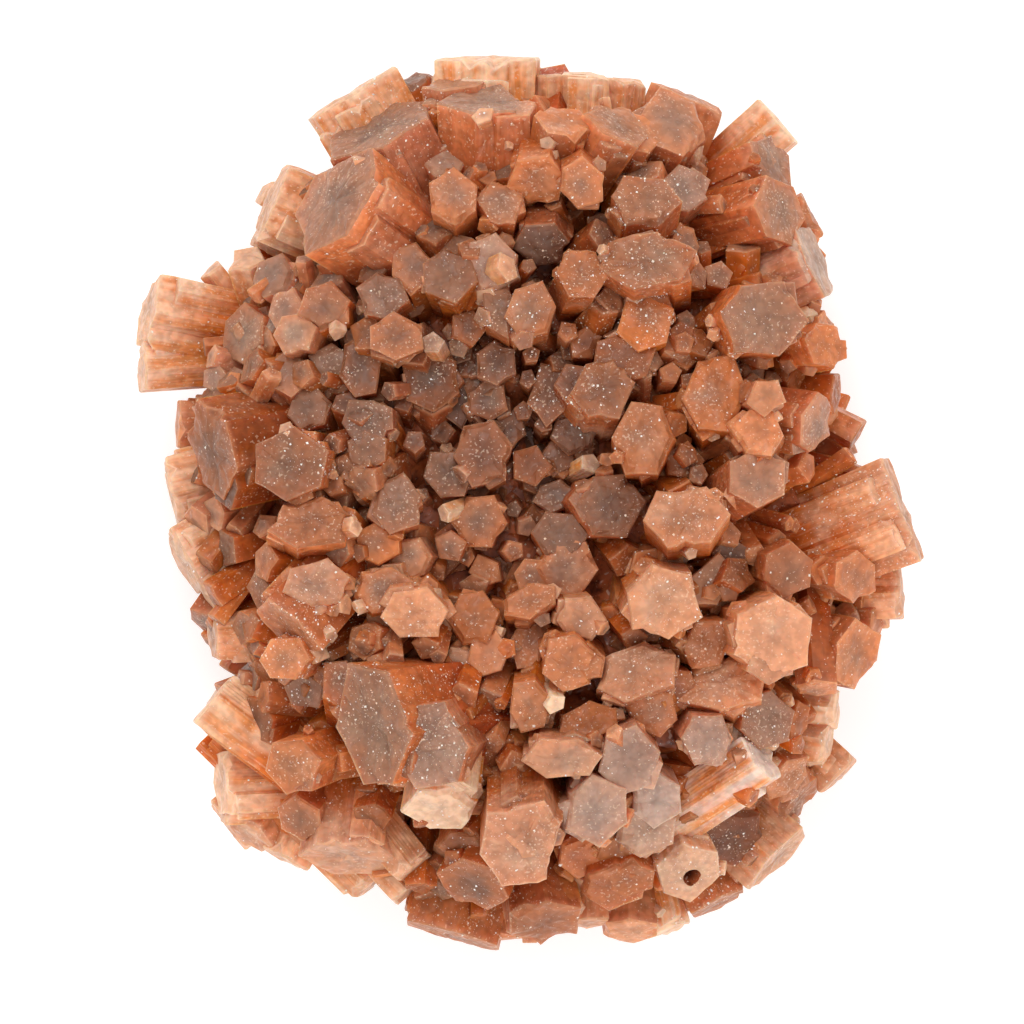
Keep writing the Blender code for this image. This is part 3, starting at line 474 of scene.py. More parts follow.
def prism_rings(points, crystal, length, seed, detail):
    """Rings from a prism's root up to its bevel, then inwards over its end face.

    Each ring is its points, how far in it lies from the rim, 0 to 1, and how far below the tip.
    Also given back: how many of the rings are on the side, and how far the middle is sunk.
    """
    count = len(points)
    chip = [0.0] * count
    for _ in range(detail.choice((0, 1, 2, 3))):
        start, span = detail.randrange(count), detail.randrange(1, max(2, count // 6) + 1)
        for k in range(span):
            chip[(start + k) % count] = detail.uniform(0.15, 0.85) * min(1.0, crystal.width / 5)
    broken = broken_corners(count, crystal.width, detail)
    chip = [min(DEEPEST_CHIP, deep + 0.9 * much) for deep, much in zip(chip, broken)]
    slope = (detail.uniform(-0.035, 0.035), detail.uniform(-0.035, 0.035))
    sink = detail.uniform(-0.6, 1.0) * CAP_RELIEF * crystal.width
    bevel = min(BEVEL, crystal.width * 0.05)
    half = crystal.width / 2

    rings = []
    # How far below the tip each ring of the side lies, root first.
    stops = (length, length * 0.6, min(3.2, length * 0.4), min(1.3, length * 0.2), bevel)
    # How far in from the rim each ring of the end face lies, and how deep a chip still is there.
    insets = ((bevel, 0.9), (0.18 * half, 0.3), (0.58 * half, 0.0))
    if crystal.width < SMALL_WIDTH:
        stops, insets = (length, min(1.0, length * 0.3), bevel), (insets[0], insets[2])
    for depth in stops:
        scale = 1 - (1 - ROOT_SCALE) * depth / length
        pull = BROKEN_PULL if depth == bevel else 0.07 if depth <= 1.3 else 0.0
        ring = []
        for k, point in enumerate(points):
            wander = 1 + detail.uniform(-0.006, 0.006) - pull * broken[k]
            down = depth + (chip[k] if depth == bevel else 0.0)
            ring.append(Vector((point.x * scale * wander, point.y * scale * wander, -down)))
        rings.append((ring, 0.0, depth))
    for inset, share in insets:
        scale = 1 - inset / half
        ring = []
        for k, point in enumerate(points):
            x, y = (scale * (1 - BROKEN_PULL * broken[k] * scale) * along for along in point.xy)
            rough = noise.noise(Vector((x * 0.9 + seed * 50, y * 0.9, 0.0)))
            rise = rough * CAP_RELIEF * crystal.width * (1 - scale ** 6) - sink * (1 - scale)
            ring.append(Vector((x, y, rise + slope[0] * x + slope[1] * y - chip[k] * share)))
        rings.append((ring, inset / half, 0.0))
    return rings, len(stops), sink


def crystal_mesh(tip, crystal, corners, length, tone, detail):
    """A fine prism: fluted sides, bevelled rim, uneven cap. It carries its tone and its lines."""
    points, way = outline_of(corners, crystal.width, detail)
    count = len(points)
    axis = axis_of(crystal.azimuth, crystal.tilt)
    along = axis_of(crystal.azimuth, crystal.tilt + 90)
    place = Matrix((along, axis.cross(along), axis)).transposed().to_4x4()
    place.translation = tip
    seed = detail.uniform(0, 1)
    rings, stops, sink = prism_rings(points, crystal, length, seed, detail)

    verts = [place @ v * MM for ring, _, _ in rings for v in ring]
    verts.append(place @ Vector((0, 0, -length)) * MM)
    verts.append(place @ Vector((0, 0, -sink)) * MM)
    faces, lines, rims, kinds = [], [], [], []
    for r in range(len(rings) - 1):
        (_, near_rim, near_depth), (_, far_rim, far_depth) = rings[r], rings[r + 1]
        on_side = r < stops - 1
        for k in range(count):
            j = (k + 1) % count
            faces.append((r * count + k, r * count + j, (r + 1) * count + j, (r + 1) * count + k))
            if on_side:
                lines += [(way[k], near_depth), (way[k + 1], near_depth),
                          (way[k + 1], far_depth), (way[k], far_depth)]
            else:
                lower, upper = rings[r][0], rings[r + 1][0]
                lines += [(v.x, v.y) for v in (lower[k], lower[j], upper[j], upper[k])]
            rims += [(near_rim, near_depth), (near_rim, near_depth),
                     (far_rim, far_depth), (far_rim, far_depth)]
            kinds.append(1 if on_side else 0)
    last = len(rings) - 1
    root, middle = len(verts) - 2, len(verts) - 1
    for k in range(count):
        j = (k + 1) % count
        faces.append((j, k, root))
        lines += [(0.0, length)] * 3
        rims += [(0.0, length)] * 3
        kinds.append(1)
        faces.append((last * count + k, last * count + j, middle))
        upper = rings[last][0]
        lines += [(upper[k].x, upper[k].y), (upper[j].x, upper[j].y), (0.0, 0.0)]
        rims += [(rings[last][1], 0.0), (rings[last][1], 0.0), (1.0, 0.0)]
        kinds.append(0)
    return carry(verts, faces, lines, rims, kinds, tone, seed)


def carry(verts, faces, lines, rims, kinds, tone, seed):
    """A mesh with what the finishes read: lines, rim distance, milkiness, greyness, seed."""
    mesh = bpy.data.meshes.new("crystal")
    mesh.from_pydata(verts, [], faces)
    mesh.uv_layers.new(name="lines").data.foreach_set("uv", np.array(lines, np.float32).ravel())
    mesh.uv_layers.new(name="rim").data.foreach_set("uv", np.array(rims, np.float32).ravel())
    mesh.polygons.foreach_set("material_index", np.array(kinds, np.int32))
    for name, value in zip(("milk", "grey", "shade", "seed"), (*tone, seed)):
        layer = mesh.attributes.new(name, "FLOAT", "FACE")
        layer.data.foreach_set("value", np.full(len(faces), value, np.float32))
    return mesh


def lump_mesh(dice):
    """The rusty ground between the crystals, brought up close behind their tips."""
    for _ in range(CORE_DRAWS):
        dice.uniform(-1, 1)
    bpy.ops.mesh.primitive_ico_sphere_add(subdivisions=5, radius=1.0)
    ball = bpy.context.object
    verts = []
    for vert in ball.data.vertices:
        up = min(1.0, max(0.0, (vert.co.z - 0.15) / 0.4))
        x, y = (vert.co[k] * (CORE_HALF[k] + (GROUND_HALF[k] - CORE_HALF[k]) * up) for k in (0, 1))
        z = vert.co.z * CORE_HALF[2]
        if z > 0:
            top = dome_height(x, y) - GROUND_UNDER_TIPS - CORE_MIDDLE_Z
            z = top * vert.co.z ** 0.3
        rough = noise.fractal(Vector((x, y, z)) * 0.45, 0.9, 2.1, 5) * GROUND_ROUGHNESS
        bump = 1 + rough / CORE_HALF[2]
        verts.append(Vector((x * bump, y * bump, z * bump + CORE_MIDDLE_Z)) * MM)
    faces = [tuple(p.vertices) for p in ball.data.polygons]
    bpy.data.objects.remove(ball)
    blank = [(0.0, 9.0)] * (3 * len(faces))
    return carry(verts, faces, blank, blank, [2] * len(faces), (0.1, 0.2, 0.5), 0.5)


def satellites_of(tip, crystal, detail):
    """Prisms grown along a big one: slim ones short of its tip, now and then a near twin."""
    if crystal.width < 3.6:
        return
    axis = axis_of(crystal.azimuth, crystal.tilt)
    along = axis_of(crystal.azimuth, crystal.tilt + 90)
    across = axis.cross(along)
    twin = detail.random() < TWIN_CHANCE
    for k in range(2 if crystal.width < 5.5 else 3):
        angle = detail.uniform(0, math.tau)
        share, drop = detail.uniform(0.34, 0.5), detail.uniform(0.6, 1.6)
        reach = 0.5 - share * 0.42
        if twin and k == 0:
            share, drop = detail.uniform(0.62, 0.74), detail.uniform(0.1, 0.35)
            reach = 0.24
        away = along * math.cos(angle) * crystal.stretch + across * math.sin(angle)
        place = tip + away * reach * crystal.width - axis * drop
        yield place, crystal._replace(width=crystal.width * share)


def guests_of(tip, crystal, detail):
    """Small crystals that sit askew on the sides of a bigger one."""
    if crystal.width < 3.0 or crystal.tilt > FLATTEST_HOST:
        return
    axis = axis_of(crystal.azimuth, crystal.tilt)
    along = axis_of(crystal.azimuth, crystal.tilt + 90)
    across = axis.cross(along)
    for _ in range(detail.choice((1, 2, 2, 3)) + (crystal.width > 5)):
        angle = detail.uniform(0, math.tau)
        away = along * math.cos(angle) * crystal.stretch + across * math.sin(angle)
        width = detail.uniform(0.8, 2.0)
        lean = (away * detail.uniform(0.3, 1.4) + axis * detail.uniform(0.3, 1.0)
                + across * detail.uniform(-0.5, 0.5)).normalized()
        place = tip + away * crystal.width * 0.42 - axis * detail.uniform(0.3, 3.4)
        place += lean * detail.uniform(0.2, 1.0)
        yield place, crystal._replace(
            width=width, stretch=detail.uniform(0.7, 1.2), twist=detail.uniform(0, 60),
            azimuth=math.degrees(math.atan2(lean.y, lean.x)),
            tilt=math.degrees(math.acos(max(-1.0, min(1.0, lean.z)))))


def shown(mesh_object):
    """The object's mesh with its modifiers applied."""
    evaluated = mesh_object.evaluated_get(bpy.context.evaluated_depsgraph_get())
    return bpy.data.meshes.new_from_object(evaluated)


def outer_skin(mesh):
    """Drops the skins of pockets sealed between crystals."""
    count = len(mesh.vertices)
    edges = np.empty(len(mesh.edges) * 2, np.int64)
    mesh.edges.foreach_get("vertices", edges)
    ends = edges.reshape(-1, 2)
    label = np.arange(count)
    while True:
        low = np.minimum(label[ends[:, 0]], label[ends[:, 1]])
        new = label.copy()
        np.minimum.at(new, ends[:, 0], low)
        np.minimum.at(new, ends[:, 1], low)
        new = new[new]
        if (new == label).all():
            break
        label = new
    names, sizes = np.unique(label, return_counts=True)
    outer = names[sizes.argmax()]
    bm = bmesh.new()
    bm.from_mesh(mesh)
    bm.verts.ensure_lookup_table()
    inner = [bm.verts[k] for k in np.flatnonzero(label != outer)]
    bmesh.ops.delete(bm, geom=inner, context="VERTS")
    bm.to_mesh(mesh)
    bm.free()


def pit_tool():
    """The round hole in the end of one whitish crystal low on the front."""
    x, y, lift, azimuth, tilt = PIT
    axis = axis_of(azimuth, tilt)
    tip = Vector((x, y, dome_height(x, y) + lift))
    bpy.ops.mesh.primitive_cone_add(vertices=14, radius1=0.45 * MM, radius2=1.0 * MM,
                                    depth=3.0 * MM, location=tip * MM,
                                    rotation=axis.to_track_quat("Z", "Y").to_euler())
    return bpy.context.object


def ground_tool():
    """Everything below the flat base."""
    bpy.ops.mesh.primitive_cube_add(size=0.2, location=(0, 0, -0.1))
    return bpy.context.object


def grown_together(name, first, others, cutters, finishes):
    """One closed skin of all the meshes, less the cutters; a cutter comes with its finish."""
    body = bpy.data.objects.new(name, first)
    bpy.context.scene.collection.objects.link(body)
    group = bpy.data.collections.new(name + "_parts")
    bpy.context.scene.collection.children.link(group)
    for mesh in others:
        group.objects.link(bpy.data.objects.new("crystal", mesh))
    tools = [tool for tool, _ in cutters]
    for tool, kind in cutters:
        tool.data.polygons.foreach_set("material_index", [kind] * len(tool.data.polygons))
    for mesh in [first, *others, *(tool.data for tool in tools)]:
        for finish in finishes:
            mesh.materials.append(finish)
    union = body.modifiers.new("crystals", "BOOLEAN")
    union.operation = "UNION"
    union.solver = "MANIFOLD"
    union.operand_type = "COLLECTION"
    union.collection = group
    for tool in tools:
        cut = body.modifiers.new(tool.name, "BOOLEAN")
        cut.operation = "DIFFERENCE"
        cut.solver = "MANIFOLD"
        cut.object = tool
    mesh = shown(body)
    body.modifiers.clear()
    body.data = mesh
    for old in list(group.objects) + tools:
        bpy.data.objects.remove(old)
    bpy.data.collections.remove(group)
    return body


def tip_of(crystal):
    """Where the middle of a crystal's end is, in mm."""
    return Vector((crystal.x, crystal.y, dome_height(crystal.x, crystal.y) + crystal.lift))


def usual_tone(crystal, detail):
    """Greyer towards the upper left of the top, more orange towards the lower right."""
    lean = 0.5 + 0.014 * (crystal.y - crystal.x) + detail.uniform(-0.35, 0.35)
    return detail.uniform(0.05, 0.45), min(1.0, max(0.0, lean))


def grow_cluster(finishes):
    """The large crystals with their twins and guests, joined with the ground between them."""
    dice, detail = random.Random(SEED), random.Random(SEED + 1)
    ground = lump_mesh(dice)
    # Crystals round the outline are milky by default: partly their own pale colour, partly painted
    # light shining through them from behind.
    rows = [(Crystal(*row), (0.8, 0.2)) for row in RIM]
    rows += [(Crystal(*row), (0.3, 0.45)) for row in RING]
    heart = [Crystal(*row) for row in HEART]
    rows += [(row._replace(width=row.width * CROWDING), usual_tone(row, detail)) for row in heart]
    rows += [(row, (detail.uniform(0.3, 0.9), 0.2)) for row in skirt_crystals(dice)]
    meshes = []
    for crystal, usual in rows:
        tip, corners = tip_of(crystal), corners_of(crystal, dice)
        tone = tone_of(crystal.x, crystal.y, usual)
        length = prism_length(tip, axis_of(crystal.azimuth, crystal.tilt))
        meshes.append(crystal_mesh(tip, crystal, corners, length, tone, detail))
        for place, slim in satellites_of(tip, crystal, detail):
            corners = corners_of(slim, detail)
            meshes.append(crystal_mesh(place, slim, corners, length, tone, detail))
        for place, guest in guests_of(tip, crystal, detail):
            own = (detail.uniform(0.1, 0.8), detail.uniform(0.0, 0.6), tone[2])
            corners = corners_of(guest, detail)
            meshes.append(crystal_mesh(place, guest, corners, GUEST_LENGTH, own, detail))
    cluster = grown_together("crystals", ground, meshes, ((pit_tool(), 2), (ground_tool(), 3)),
                             finishes)
    outer_skin(cluster.data)
    return cluster


def grow_druse(finishes):
    """The small crystals in the gaps, rooted in the ground and in their larger neighbours."""
    detail = random.Random(SEED + 3)
    rows = [(Crystal(*row), (0.35, 0.3)) for row in CHIPS]
    rows += [(row, usual_tone(row, detail)) for row in druse_crystals(detail)]
    meshes = []
    for crystal, usual in rows:
        tip = tip_of(crystal)
        tone = tone_of(crystal.x, crystal.y, usual)
        length = min(LONGEST_DRUSE, prism_length(tip, axis_of(crystal.azimuth, crystal.tilt)))
        corners = corners_of(crystal, detail)
        meshes.append(crystal_mesh(tip, crystal, corners, length, tone, detail))
    return grown_together("druse", meshes[0], meshes[1:], ((ground_tool(), 3),), finishes)


def dustiness(x, y):
    """How thick the loose white dust lies at x, y."""
    return sum(much * math.exp(-((x - mx) ** 2 + (y - my) ** 2) / size ** 2)
               for mx, my, size, much in DUST)


def flake(verts, faces, spot, normal, size, dice):
    """Adds one uneven eight-faced flake, half sunk in the surface."""
    turn = Vector((dice.uniform(-1, 1), dice.uniform(-1, 1), dice.uniform(-1, 1))).normalized()
    side = normal.cross(turn).normalized()
    front = normal.cross(side)
    start = len(verts)
    reach = [dice.uniform(0.5, 1.6) for _ in range(4)]
    verts += [spot + side * size * reach[0], spot + front * size * reach[1],
              spot - side * size * reach[2], spot - front * size * reach[3],
              spot + normal * size * dice.uniform(0.3, 0.9), spot - normal * size * 0.5]
    faces += [(start + a, start + b, start + c) for a, b, c in
              ((0, 1, 4), (1, 2, 4), (2, 3, 4), (3, 0, 4),
               (1, 0, 5), (2, 1, 5), (3, 2, 5), (0, 3, 5))]


def grain_dust(cluster, druse, finish):
    """Loose white flakes: scattered over the faces, and crusted along the rims of the caps."""
    dice = random.Random(SEED + 2)
    skin, shift = cluster.data, len(cluster.data.vertices)
    places = [v.co for mesh in (skin, druse.data) for v in mesh.vertices]
    sides = [tuple(p.vertices) for p in skin.polygons]
    sides += [tuple(k + shift for k in p.vertices) for p in druse.data.polygons]
    tree = BVHTree.FromPolygons(places, sides)
    verts, faces = [], []
    while len(verts) < GRAIN_COUNT * 6:
        x, y = dice.uniform(-34, 34), dice.uniform(-37, 37)
        if dice.random() > THIN_DUST + 0.5 * dustiness(x, y):
            continue
        spot, normal, _, _ = tree.ray_cast(Vector((x, y, 60)) * MM, Vector((0, 0, -1)))
        if spot is None or normal.z < 0.2 or spot.z < 0.004:
            continue
        size = (GRAIN_HALF + 0.09 * dice.random() ** 6) * MM
        flake(verts, faces, spot, normal, size, dice)

    kinds = {}
    for polygon in skin.polygons:
        for key in polygon.edge_keys:
            kinds.setdefault(key, []).append(polygon)
    rims = [(key, pair) for key, pair in kinds.items() if len(pair) == 2
            and {pair[0].material_index, pair[1].material_index} == {0, 1}
            and (pair[0].normal + pair[1].normal).z > 0.5]
    while len(verts) < (GRAIN_COUNT + RIM_GRAINS) * 6:
        key, pair = dice.choice(rims)
        first, second = (skin.vertices[k].co for k in key)
        if dice.random() > THIN_RIM_DUST + 0.5 * dustiness(first.x / MM, first.y / MM):
            continue
        normal = (pair[0].normal + pair[1].normal).normalized()
        loose = Vector([dice.gauss(0, 0.07) * MM for _ in range(3)])
        spot = first.lerp(second, dice.random()) + loose
        size = (RIM_GRAIN_HALF + 0.09 * dice.random() ** 4) * MM
        flake(verts, faces, spot, normal, size, dice)
    mesh = bpy.data.meshes.new("white_grains")
    mesh.from_pydata(verts, [], faces)
    mesh.materials.append(finish)
    grains = bpy.data.objects.new("white_grains", mesh)
    bpy.context.scene.collection.objects.link(grains)
    return grains


def put(tree, kind, inputs=None, **settings):
    """One node with its settings; an input is a number, a colour or another node's socket."""
    node = tree.nodes.new(kind)
    for name, value in settings.items():
        setattr(node, name, value)
    for name, value in (inputs or {}).items():
        if isinstance(value, bpy.types.NodeSocket):
            tree.links.new(value, node.inputs[name])
        else:
            node.inputs[name].default_value = value
    return node


def blend(tree, share, under, over):
    """The colour under, covered by the colour over in this share."""
    mix = put(tree, "ShaderNodeMix", {0: share, 6: under, 7: over}, data_type="RGBA",
              clamp_factor=True)
    return mix.outputs[2]


def maths(tree, way, first, second=0.0, third=0.0, clamp=False):
    """One sum of numbers or sockets."""
    node = put(tree, "ShaderNodeMath", {0: first, 1: second, 2: third}, operation=way,
               use_clamp=clamp)
    return node.outputs[0]


def between(tree, value, low, high, start=0.0, end=1.0):
    """0 below low, 1 above high, smooth between."""
    node = put(tree, "ShaderNodeMapRange",
               {"Value": value, "From Min": low, "From Max": high, "To Min": start, "To Max": end},
               interpolation_type="SMOOTHSTEP")
    return node.outputs["Result"]


def clouds(tree, vector, scale, detail=3.0, rough=0.55):
    """Soft noise, mostly 0.3 to 0.7."""
    noisy = put(tree, "ShaderNodeTexNoise",
                {"Vector": vector, "Scale": scale, "Detail": detail, "Roughness": rough})
    return noisy.outputs["Fac"]


def effect(name, inputs, outputs):
    """An empty node group with named inputs (name, kind, usual value) and outputs."""
    group = bpy.data.node_groups.new(name, "ShaderNodeTree")
    for label, kind, usual in inputs:
        socket = group.interface.new_socket(name=label, in_out="INPUT", socket_type=kind)
        if usual is not None:
            socket.default_value = usual
    for label, kind in outputs:
        group.interface.new_socket(name=label, in_out="OUTPUT", socket_type=kind)
    return group, group.nodes.new("NodeGroupInput").outputs, group.nodes.new("NodeGroupOutput")


FLOAT, COLOUR, VECTOR = "NodeSocketFloat", "NodeSocketColor", "NodeSocketVector"


def dust_specks_group():
    """Fine white dust: specks in drifting patches."""
    group, given, out = effect("dust specks", (("Place", VECTOR, None), ("Size", FLOAT, 2600.0),
                                               ("Cover", FLOAT, 0.3), ("Drift", FLOAT, 0.5)),
                               (("Mask", FLOAT),))
    flecks = clouds(group, given["Place"], given["Size"], 0.0)
    reach = maths(group, "MULTIPLY", given["Cover"], between(group, given["Drift"], 0.35, 0.7))
    spot = maths(group, "MULTIPLY_ADD", reach, 0.4, flecks)
    group.links.new(between(group, spot, 0.75, 0.83), out.inputs["Mask"])
    return group


def iron_stain_group():
    """Rusty clouding that darkens and reddens a colour unevenly."""
    group, given, out = effect(
        "iron stain", (("Place", VECTOR, None), ("Colour", COLOUR, (0.5, 0.2, 0.1, 1)),
                       ("Stain", COLOUR, (0.24, 0.04, 0.01, 1)), ("Amount", FLOAT, 0.5),
                       ("Scale", FLOAT, 260.0)), (("Colour", COLOUR),))
    broad = clouds(group, given["Place"], given["Scale"], 1.6, 0.6)
    fine = clouds(group, given["Place"], maths(group, "MULTIPLY", given["Scale"], 6.5), 0.0, 0.6)
    mask = maths(group, "ADD", between(group, broad, 0.42, 0.72),
                 maths(group, "MULTIPLY", between(group, fine, 0.5, 0.72), 0.45))
    share = maths(group, "MULTIPLY", mask, given["Amount"], clamp=True)
    group.links.new(blend(group, share, given["Colour"], given["Stain"]), out.inputs["Colour"])
    return group


def white_veil_group():
    """White clouding inside a crystal, more of it where the crystal is milky."""
    group, given, out = effect("white veil", (("Place", VECTOR, None),
                                              ("Colour", COLOUR, (0.5, 0.2, 0.1, 1)),
                                              ("Milk", FLOAT, 0.3)), (("Colour", COLOUR),))
    cloud = clouds(group, given["Place"], 240.0, 2.0, 0.62)
    much = maths(group, "ADD", maths(group, "MULTIPLY", given["Milk"], 0.55), 0.08)
    share = maths(group, "MULTIPLY", between(group, cloud, 0.53, 0.72), much)
    group.links.new(blend(group, share, given["Colour"], (0.95, 0.70, 0.50, 1)),
                    out.inputs["Colour"])
    return group


def frosting_group():
    """The etched, slightly pitted skin of weathered aragonite, as height and roughness."""
    group, given, out = effect("frosting", (("Place", VECTOR, None), ("Scale", FLOAT, 1500.0)),
                               (("Height", FLOAT), ("Roughness", FLOAT)))
    coarse = clouds(group, given["Place"], given["Scale"], 0.0, 0.65)
    pits = between(group, coarse, 0.30, 0.42, 0.0, 0.25)
    group.links.new(maths(group, "ADD", coarse, pits), out.inputs["Height"])
    group.links.new(between(group, coarse, 0.3, 0.75, 0.34, 0.6), out.inputs["Roughness"])
    return group


def use(tree, group, inputs):
    """Puts an effect in a material, with that material's own values."""
    node = tree.nodes.new("ShaderNodeGroup")
    node.node_tree = group
    for name, value in inputs.items():
        if isinstance(value, bpy.types.NodeSocket):
            tree.links.new(value, node.inputs[name])
        else:
            node.inputs[name].default_value = value
    return node.outputs


def new_finish(name, **constants):
    """A material whose shader has its constant values on its own sockets."""
    material = bpy.data.materials.new(name)
    material.use_nodes = True
    shader = material.node_tree.nodes["Principled BSDF"]
    for label, value in constants.items():
        shader.inputs[label.replace("_", " ")].default_value = value
    return material, material.node_tree, shader


def finish_with(tree, shader, colour, frosted, strength):
    """Joins the colour and the frosted skin to the shader."""
    tree.links.new(colour, shader.inputs["Base Color"])
    tree.links.new(frosted["Roughness"], shader.inputs["Roughness"])
    bump = put(tree, "ShaderNodeBump", {"Height": frosted["Height"], "Strength": strength,
                                        "Distance": 0.0002})
    tree.links.new(bump.outputs["Normal"], shader.inputs["Normal"])


def layer(tree, name):
    """A value that each crystal carries on its faces: milk, grey, shade or seed."""
    return put(tree, "ShaderNodeAttribute", attribute_name=name).outputs["Fac"]


def cap_finish(specks, stain, veil, frosting):
    """End faces: mauve-grey or orange in the middle and darker there, a soft border painted with a
    glow of light shining through, a thin painted highlight along the rim, white dust.
    """
    material, tree, shader = new_finish("crystal_caps", Subsurface_Weight=0.32,
                                        Subsurface_Scale=0.0034, Specular_IOR_Level=0.3,
                                        Subsurface_Radius=(1.0, 0.36, 0.16))
    place = put(tree, "ShaderNodeTexCoord").outputs["Object"]
    milk = maths(tree, "POWER", layer(tree, "milk"), MILK_CURVE)
    grey = layer(tree, "grey")
    shade, seed = layer(tree, "shade"), layer(tree, "seed")
    rim = put(tree, "ShaderNodeSeparateXYZ",
              {0: put(tree, "ShaderNodeUVMap", uv_map="rim").outputs[0]}).outputs[0]

    warm = blend(tree, seed, (0.57, 0.152, 0.028, 1), (0.46, 0.104, 0.019, 1))
    mauve = blend(tree, seed, (0.41, 0.195, 0.112, 1), (0.30, 0.137, 0.078, 1))
    cloud = clouds(tree, place, 300.0, 1.0)
    drift = maths(tree, "ADD", grey, maths(tree, "SUBTRACT", cloud, 0.5))
    body = blend(tree, between(tree, drift, 0.1, 0.8), warm, mauve)
    whitish = blend(tree, between(tree, grey, 0.5, 1.0), (0.92, 0.57, 0.37, 1),
                    (0.80, 0.63, 0.54, 1))
    body = blend(tree, milk, body, whitish)
    body = blend(tree, shade, body, (0.14, 0.055, 0.030, 1))
    body = use(tree, veil, {"Place": place, "Colour": body, "Milk": milk})["Colour"]
    stained = use(tree, stain, {"Place": place, "Colour": body, "Stain": (0.22, 0.06, 0.025, 1),
                                "Amount": 0.26, "Scale": 330.0})["Colour"]
    # Painted glow: light shining through the thin border of each end face, dimmed in the darker
    # spots. The middle of the face is made darker.
    wander = maths(tree, "SUBTRACT", clouds(tree, place, 520.0, 0.5), 0.5)
    way_in = maths(tree, "MULTIPLY_ADD", wander, 0.8, rim)
    border = between(tree, way_in, 0.0, 0.9, 1.0, 0.0)
    glow = blend(tree, milk, (0.70, 0.195, 0.045, 1), (0.97, 0.62, 0.40, 1))
    glow = blend(tree, maths(tree, "MULTIPLY", shade, 0.7), glow, (0.24, 0.075, 0.03, 1))
    own = maths(tree, "FRACT", maths(tree, "MULTIPLY", seed, 3.7))
    much = maths(tree, "MULTIPLY_ADD", grey, -0.2, between(tree, own, 0.0, 1.0, 0.28, 0.72),
                 clamp=True)
    darker_middle = blend(tree, maths(tree, "MULTIPLY", between(tree, way_in, 0.35, 1.0), 0.18), stained,
                  (0.15, 0.06, 0.034, 1))
    edged = blend(tree, maths(tree, "MULTIPLY", border, much), darker_middle, glow)
    # Painted highlight: a thin light line along the rim of each end face.
    rim_highlight_share = maths(tree, "MULTIPLY", between(tree, rim, 0.01, 0.075, 1.0, 0.0), 0.25)
    rim_highlight_colour = blend(tree, milk, (0.76, 0.36, 0.19, 1), (0.96, 0.78, 0.64, 1))
    edged = blend(tree, rim_highlight_share, edged, rim_highlight_colour)
    mottle = between(tree, clouds(tree, place, 1400.0, 1.0, 0.7), 0.34, 0.68, 0.88, 1.10)
    lightest = maths(tree, "MULTIPLY_ADD", milk, 0.25, 0.62)
    own = maths(tree, "FRACT", maths(tree, "MULTIPLY", seed, 7.31))
    value = maths(tree, "MULTIPLY", mottle, between(tree, own, 0.0, 1.0, lightest, 0.96))
    edged = put(tree, "ShaderNodeVectorMath", {0: edged, 3: value}, operation="SCALE").outputs[0]
    dust = use(tree, specks, {"Place": place, "Size": 5200.0, "Cover": 0.30,
                              "Drift": cloud})["Mask"]
    dusted = blend(tree, maths(tree, "MULTIPLY", dust, 0.3), edged, (0.86, 0.64, 0.48, 1))
    finish_with(tree, shader, dusted, use(tree, frosting, {"Place": place, "Scale": 1700.0}), 0.45)
    return material


